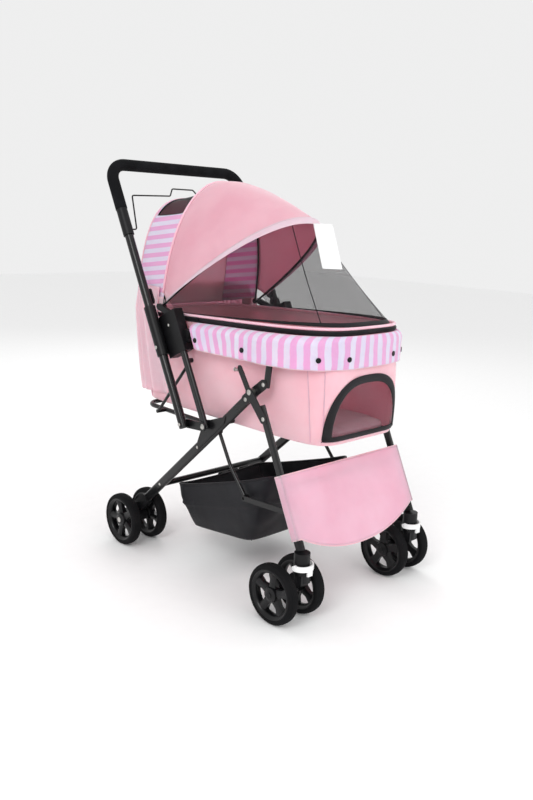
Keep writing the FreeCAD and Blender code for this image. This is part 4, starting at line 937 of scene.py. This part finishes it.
def tag_point(u, v):
    """The card faces half sideways, half forwards, and leans out over the net."""
    x, y, z = cover_point(0.47, 0.02)
    across, down, out = TAG_W * (u - 0.5) + 28.0, TAG_L * v, 14.0 + 86.0 * v
    return (x + 0.72 * (across + 0.19 * down) - 0.69 * out,
            y - 0.69 * (across + 0.19 * down) - 0.72 * out, z - 0.97 * down + 0.1 * out)


tag = cloth_grid("swing_tag", 6, 10, tag_point)
thicken(tag, 0.7, 0.0)
dress(tag, card, "canopy_bow")
tie = sewn_cord("tag_tie", [front_arch(0.43, 4.0), tag_point(0.5, 0.0), tag_point(0.5, 0.08)], 0.6)
dress(tie, card, "canopy_bow")
print("tag:", round((Vector(tag_point(0.5, 1.0)) - Vector(tag_point(0.5, 0.0))).length), "mm long")

# %% [markdown]
# ## Apron
# A pink apron wraps the front legs above the wheels, with a curved lower edge.  Its plan is one path
# round both legs, swept down the slope of the legs.

# %% Apron round the front legs
LEG_FOOT, LEG_ANGLE = (-355.0, 163.0), math.radians(64.9)
APRON_X, APRON_TOP, APRON_MIDDLE, APRON_CORNER = 209.5, 326.0, 150.0, 196.0
APRON_STAND = 12.0        # how far the cloth stands in front of the legs' middle line
LEG_UP = (math.cos(LEG_ANGLE), math.sin(LEG_ANGLE))


def apron_path(s):
    """Plan of the apron: back wing, round the leg, across, round the other leg, back wing."""
    wing, corner = 20.0, 9.0
    if s > 0.5:
        x, d = apron_path(1 - s)
        return -x, d
    run = s * 2 * (APRON_X + wing)
    if run < wing:
        return -APRON_X, -8.0 + run
    bend = min(1.0, (run - wing) / (corner * math.pi / 2))
    if bend < 1.0:
        a = bend * math.pi / 2
        return -APRON_X + corner * (1 - math.cos(a)), APRON_STAND - corner + corner * math.sin(a)
    arc = corner * math.pi / 2
    x = -APRON_X + corner + (run - wing - arc) * (APRON_X - corner) / (APRON_X - arc)
    return x, APRON_STAND - 4.0 * (1 - (x / APRON_X) ** 2)


def apron_point(u, v):
    x, d = apron_path(u)
    low = APRON_MIDDLE + (APRON_CORNER - APRON_MIDDLE) * min(1.0, abs(x) / 200.0) ** 2.2
    z = between(APRON_TOP, low, v)
    y = LEG_FOOT[0] + (z - LEG_FOOT[1]) * LEG_UP[0] / LEG_UP[1]
    d += crease(x, z, 0.0, 60.0, 2.2) * math.sin(math.pi * min(1.0, v * 1.1)) * (abs(x) < 190)
    return x, y - LEG_UP[1] * d, z + LEG_UP[0] * d


apron = cloth_grid("front_apron", 120, 30, apron_point)
thicken(apron, 1.6)
dress(apron, apron_cloth, "front_frame")
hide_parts("front_panel")
for name, v in (("apron_hem", 1.0), ("apron_top_hem", 0.0)):
    welt = sewn_cord(name, [apron_point(i / 120, v) for i in range(121)], 2.0)
    dress(welt, pink_cloth, "front_frame")

for number, u in enumerate((0.055, 0.945)):
    welt = sewn_cord(f"apron_side_welt_{number}", [apron_point(u, i / 40) for i in range(41)], 1.6)
    dress(welt, piping_cloth, "front_frame")

# %% [markdown]
# ## Basket
# Between the legs hangs a soft nylon bag: its walls belly out and its rim droops.  It can't follow
# the fold.

# %% Shopping basket
FLOOR_FRONT, FLOOR_REAR = (-128.0, 106.0), (104.0, 80.0)
EDGE_FRONT, EDGE_REAR = (-190.0, 294.0), (160.0, 186.0)
WALL_SHARE = 0.72         # the share of the grid's rows that makes the wall


def basket_point(u, v):
    """Round the bag with u; down the wall and then in across the floor with v."""
    a = TAU * u
    across, along = rounded(math.cos(a), 9.0), rounded(math.sin(a), 9.0)
    wall = min(1.0, v / WALL_SHARE)
    inward = max(0.0, (v - WALL_SHARE) / (1 - WALL_SHARE))
    half = between(157.0, 140.0, wall) + 6.0 * math.sin(math.pi * wall)
    share = (1 + along) / 2
    rim_y, floor_y = between(EDGE_FRONT[0], EDGE_REAR[0], share), between(FLOOR_FRONT[0], FLOOR_REAR[0], share)
    rim_z, floor_z = between(EDGE_FRONT[1], EDGE_REAR[1], share), between(FLOOR_FRONT[1], FLOOR_REAR[1], share)
    y = between(rim_y, floor_y, wall) + 7.0 * along * math.sin(math.pi * wall)
    droop = 12.0 * (1 - abs(across) ** 4) * (1 - wall) + 10.0 * (1 - abs(along) ** 4) * (1 - wall)
    z = between(rim_z - droop, floor_z, wall ** 0.9)
    x = half * across
    middle = (FLOOR_FRONT[0] + FLOOR_REAR[0]) / 2
    x, y = x * (1 - inward), middle + (y - middle) * (1 - inward)
    soft = crease(x, y, z, 45.0, 5.0) * math.sin(math.pi * min(1.0, wall))
    soft += 3.0 * math.exp(-((wall - 0.4 - 0.05 * along) / 0.035) ** 2) * (1 - inward)
    return x + soft * across, y + soft * along, z + 2.0 * inward


basket = cloth_grid("basket_bag", 160, 44, basket_point, ring=True)
thicken(basket, 1.6)
dress(basket, nylon, "rear_frame")
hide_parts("basket")
rim_line = [basket_point(i / 160, 0.0) for i in range(160)]
basket_rim = sewn_cord("basket_rim_tape", rim_line, 3.0, ring=True)
dress(basket_rim, binding_cloth, "rear_frame")
basket_seams = []
for number, corner in enumerate((0.125, 0.375, 0.625, 0.875)):
    corner_line = [basket_point(corner, WALL_SHARE * i / 40) for i in range(41)]
    seam = sewn_cord(f"basket_seam_{number}", corner_line, 1.8)
    dress(seam, binding_cloth, "rear_frame")
    basket_seams.append(seam)
for piece in [basket, basket_rim] + basket_seams:
    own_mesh(piece)
print("bag:", len(basket.data.polygons), "faces")

# %% [markdown]
# ## Floor pad
# The pet lies on a stuffed pad.  A stuffed thing is best blown up: we take a slightly small flat
# shape, give it pressure in the cloth solver, and stop before it bulges too far.


# %% Pad, filled by the cloth solver
def pad_start():
    low, high = (Vector(c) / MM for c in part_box("floor_pad"))
    centre, half = (low + high) / 2, (high - low) / 2
    shape = bmesh.new()
    rings, around_pad, squareness = [], 96, 7.0
    for level in (-0.62, 0.0, 0.62):
        inset = 5.0 if level else 3.0
        corners = [(rounded(math.cos(TAU * i / around_pad), squareness),
                    rounded(math.sin(TAU * i / around_pad), squareness)) for i in range(around_pad)]
        height = centre.z + half.z * level
        rings.append([shape.verts.new(Vector((centre.x + (half.x - inset) * cx,
                                              centre.y + (half.y - inset) * cy, height)) * MM)
                      for cx, cy in corners])
    for one, two in zip(rings, rings[1:]):
        for i in range(around_pad):
            k = (i + 1) % around_pad
            shape.faces.new((one[i], one[k], two[k], two[i]))
    shape.faces.new(rings[0])
    shape.faces.new(rings[-1])
    return placed("stuffed_pad", mesh_from(shape, "stuffed_pad"))


def inflate(piece, voxel, pressure, cap):
    """Remesh, fill with air, keep every point within cap of where it began."""
    bpy.context.view_layer.objects.active = piece
    remesh = piece.modifiers.new("even faces", "REMESH")
    remesh.mode, remesh.voxel_size = "VOXEL", voxel * MM
    bpy.ops.object.modifier_apply(modifier=remesh.name)
    start = np.array([v.co for v in piece.data.vertices])
    cloth = piece.modifiers.new("filling", "CLOTH")
    cloth.settings.use_pressure = True
    cloth.settings.uniform_pressure_force = pressure
    cloth.settings.effector_weights.gravity = 0.0
    for step in range(1, 21):
        bpy.context.scene.frame_set(step)
    bpy.ops.object.modifier_apply(modifier=cloth.name)
    bpy.context.scene.frame_set(1)
    moved = np.array([v.co for v in piece.data.vertices]) - start
    size = np.linalg.norm(moved, axis=1, keepdims=True)
    start = start + moved * np.minimum(1.0, cap * MM / np.maximum(size, 1e-9))
    print("pad filled: moved up to", round(float(size.max()) / MM, 1), "mm")
    return start


CHANNEL_X, CHANNEL_Y, CHANNEL_DEPTH = 92.0, 110.0, 3.2
pad = pad_start()
shape = inflate(pad, 6.0, 4.0, 6.0)
top = shape[:, 2].max()
for v, place in zip(pad.data.vertices, shape):
    x, y, z = place / MM
    channel = max(math.exp(-((x % CHANNEL_X - CHANNEL_X / 2) / 5.0) ** 2),
                  math.exp(-((y % CHANNEL_Y - CHANNEL_Y / 2) / 5.0) ** 2))
    sunk = CHANNEL_DEPTH * MM * channel if place[2] > top - 12 * MM else 0.0
    v.co = Vector((place[0], place[1], place[2] - sunk))
smooth = pad.modifiers.new("soften", "SUBSURF")
smooth.levels = smooth.render_levels = 1
pad.data.polygons.foreach_set("use_smooth", [True] * len(pad.data.polygons))
if not pad.data.uv_layers:
    pad.data.uv_layers.new(name="cloth")
dress(pad, lining_cloth, "rear_frame")
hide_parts("floor_pad")

# %% [markdown]
# ## Studio
# A pale floor, a pale surround and three soft lights, with the camera at a standing person's
# three-quarter view from the front.

# %% Floor, lights and world
floor_mesh = bpy.data.meshes.new("studio_floor")
floor_mesh.from_pydata([(-9, -9, 0), (9, -9, 0), (9, 9, 0), (-9, 9, 0)], [], [(0, 1, 2, 3)])
floor = placed("studio_floor", floor_mesh)
floor.data.materials.append(hard("studio floor", colour(250, 250, 250), colour(248, 248, 248), 0.8, 40.0, 0.05))

world = bpy.data.worlds.new("studio")
bpy.context.scene.world = world
world.use_nodes = True
world.node_tree.nodes["Background"].inputs["Color"].default_value = (1.0, 1.0, 1.0, 1.0)
world.node_tree.nodes["Background"].inputs["Strength"].default_value = 0.86
bpy.context.scene.view_settings.view_transform = "Standard"


def soft_light(name, place, power, size):
    light = bpy.data.lights.new(name, "AREA")
    light.energy, light.size = power, size
    lamp = placed(name, light)
    lamp.location = place
    lamp.rotation_euler = (Vector((0, 0, 0.55)) - Vector(place)).to_track_quat("-Z", "Y").to_euler()


soft_light("key light", (-2.6, -1.4, 2.4), 40.0, 1.4)
soft_light("front light", (0.4, -3.0, 1.8), 22.0, 1.6)
soft_light("back light", (1.6, 2.4, 2.4), 18.0, 1.8)
print("lights:", len(bpy.data.lights))

# %% [markdown]
# ## Camera
# The camera is placed by its two angles and a slight roll, and its matrix is built from three axes,
# which is clearer than guessing an Euler angle.

# %% Camera
lens = bpy.data.cameras.new("camera")
lens.lens, lens.sensor_width = 36.12, 36.0
camera = placed("camera", lens)
AZIMUTH, ELEVATION, ROLL = (math.radians(a) for a in (-44.452, 12.75, 2.195))
back = Vector((math.sin(AZIMUTH) * math.cos(ELEVATION), -math.cos(AZIMUTH) * math.cos(ELEVATION),
               math.sin(ELEVATION)))
right = Vector((0, 0, 1)).cross(back).normalized()
up = back.cross(right)
level_right = right * math.cos(ROLL) + up * math.sin(ROLL)
level_up = up * math.cos(ROLL) - right * math.sin(ROLL)
pose = Matrix((level_right, level_up, back)).transposed().to_4x4()
pose.translation = Vector((-1.41638, -1.46526, 0.88334))
camera.matrix_world = pose
bpy.context.scene.camera = camera
print("camera at", [round(c, 3) for c in pose.translation])
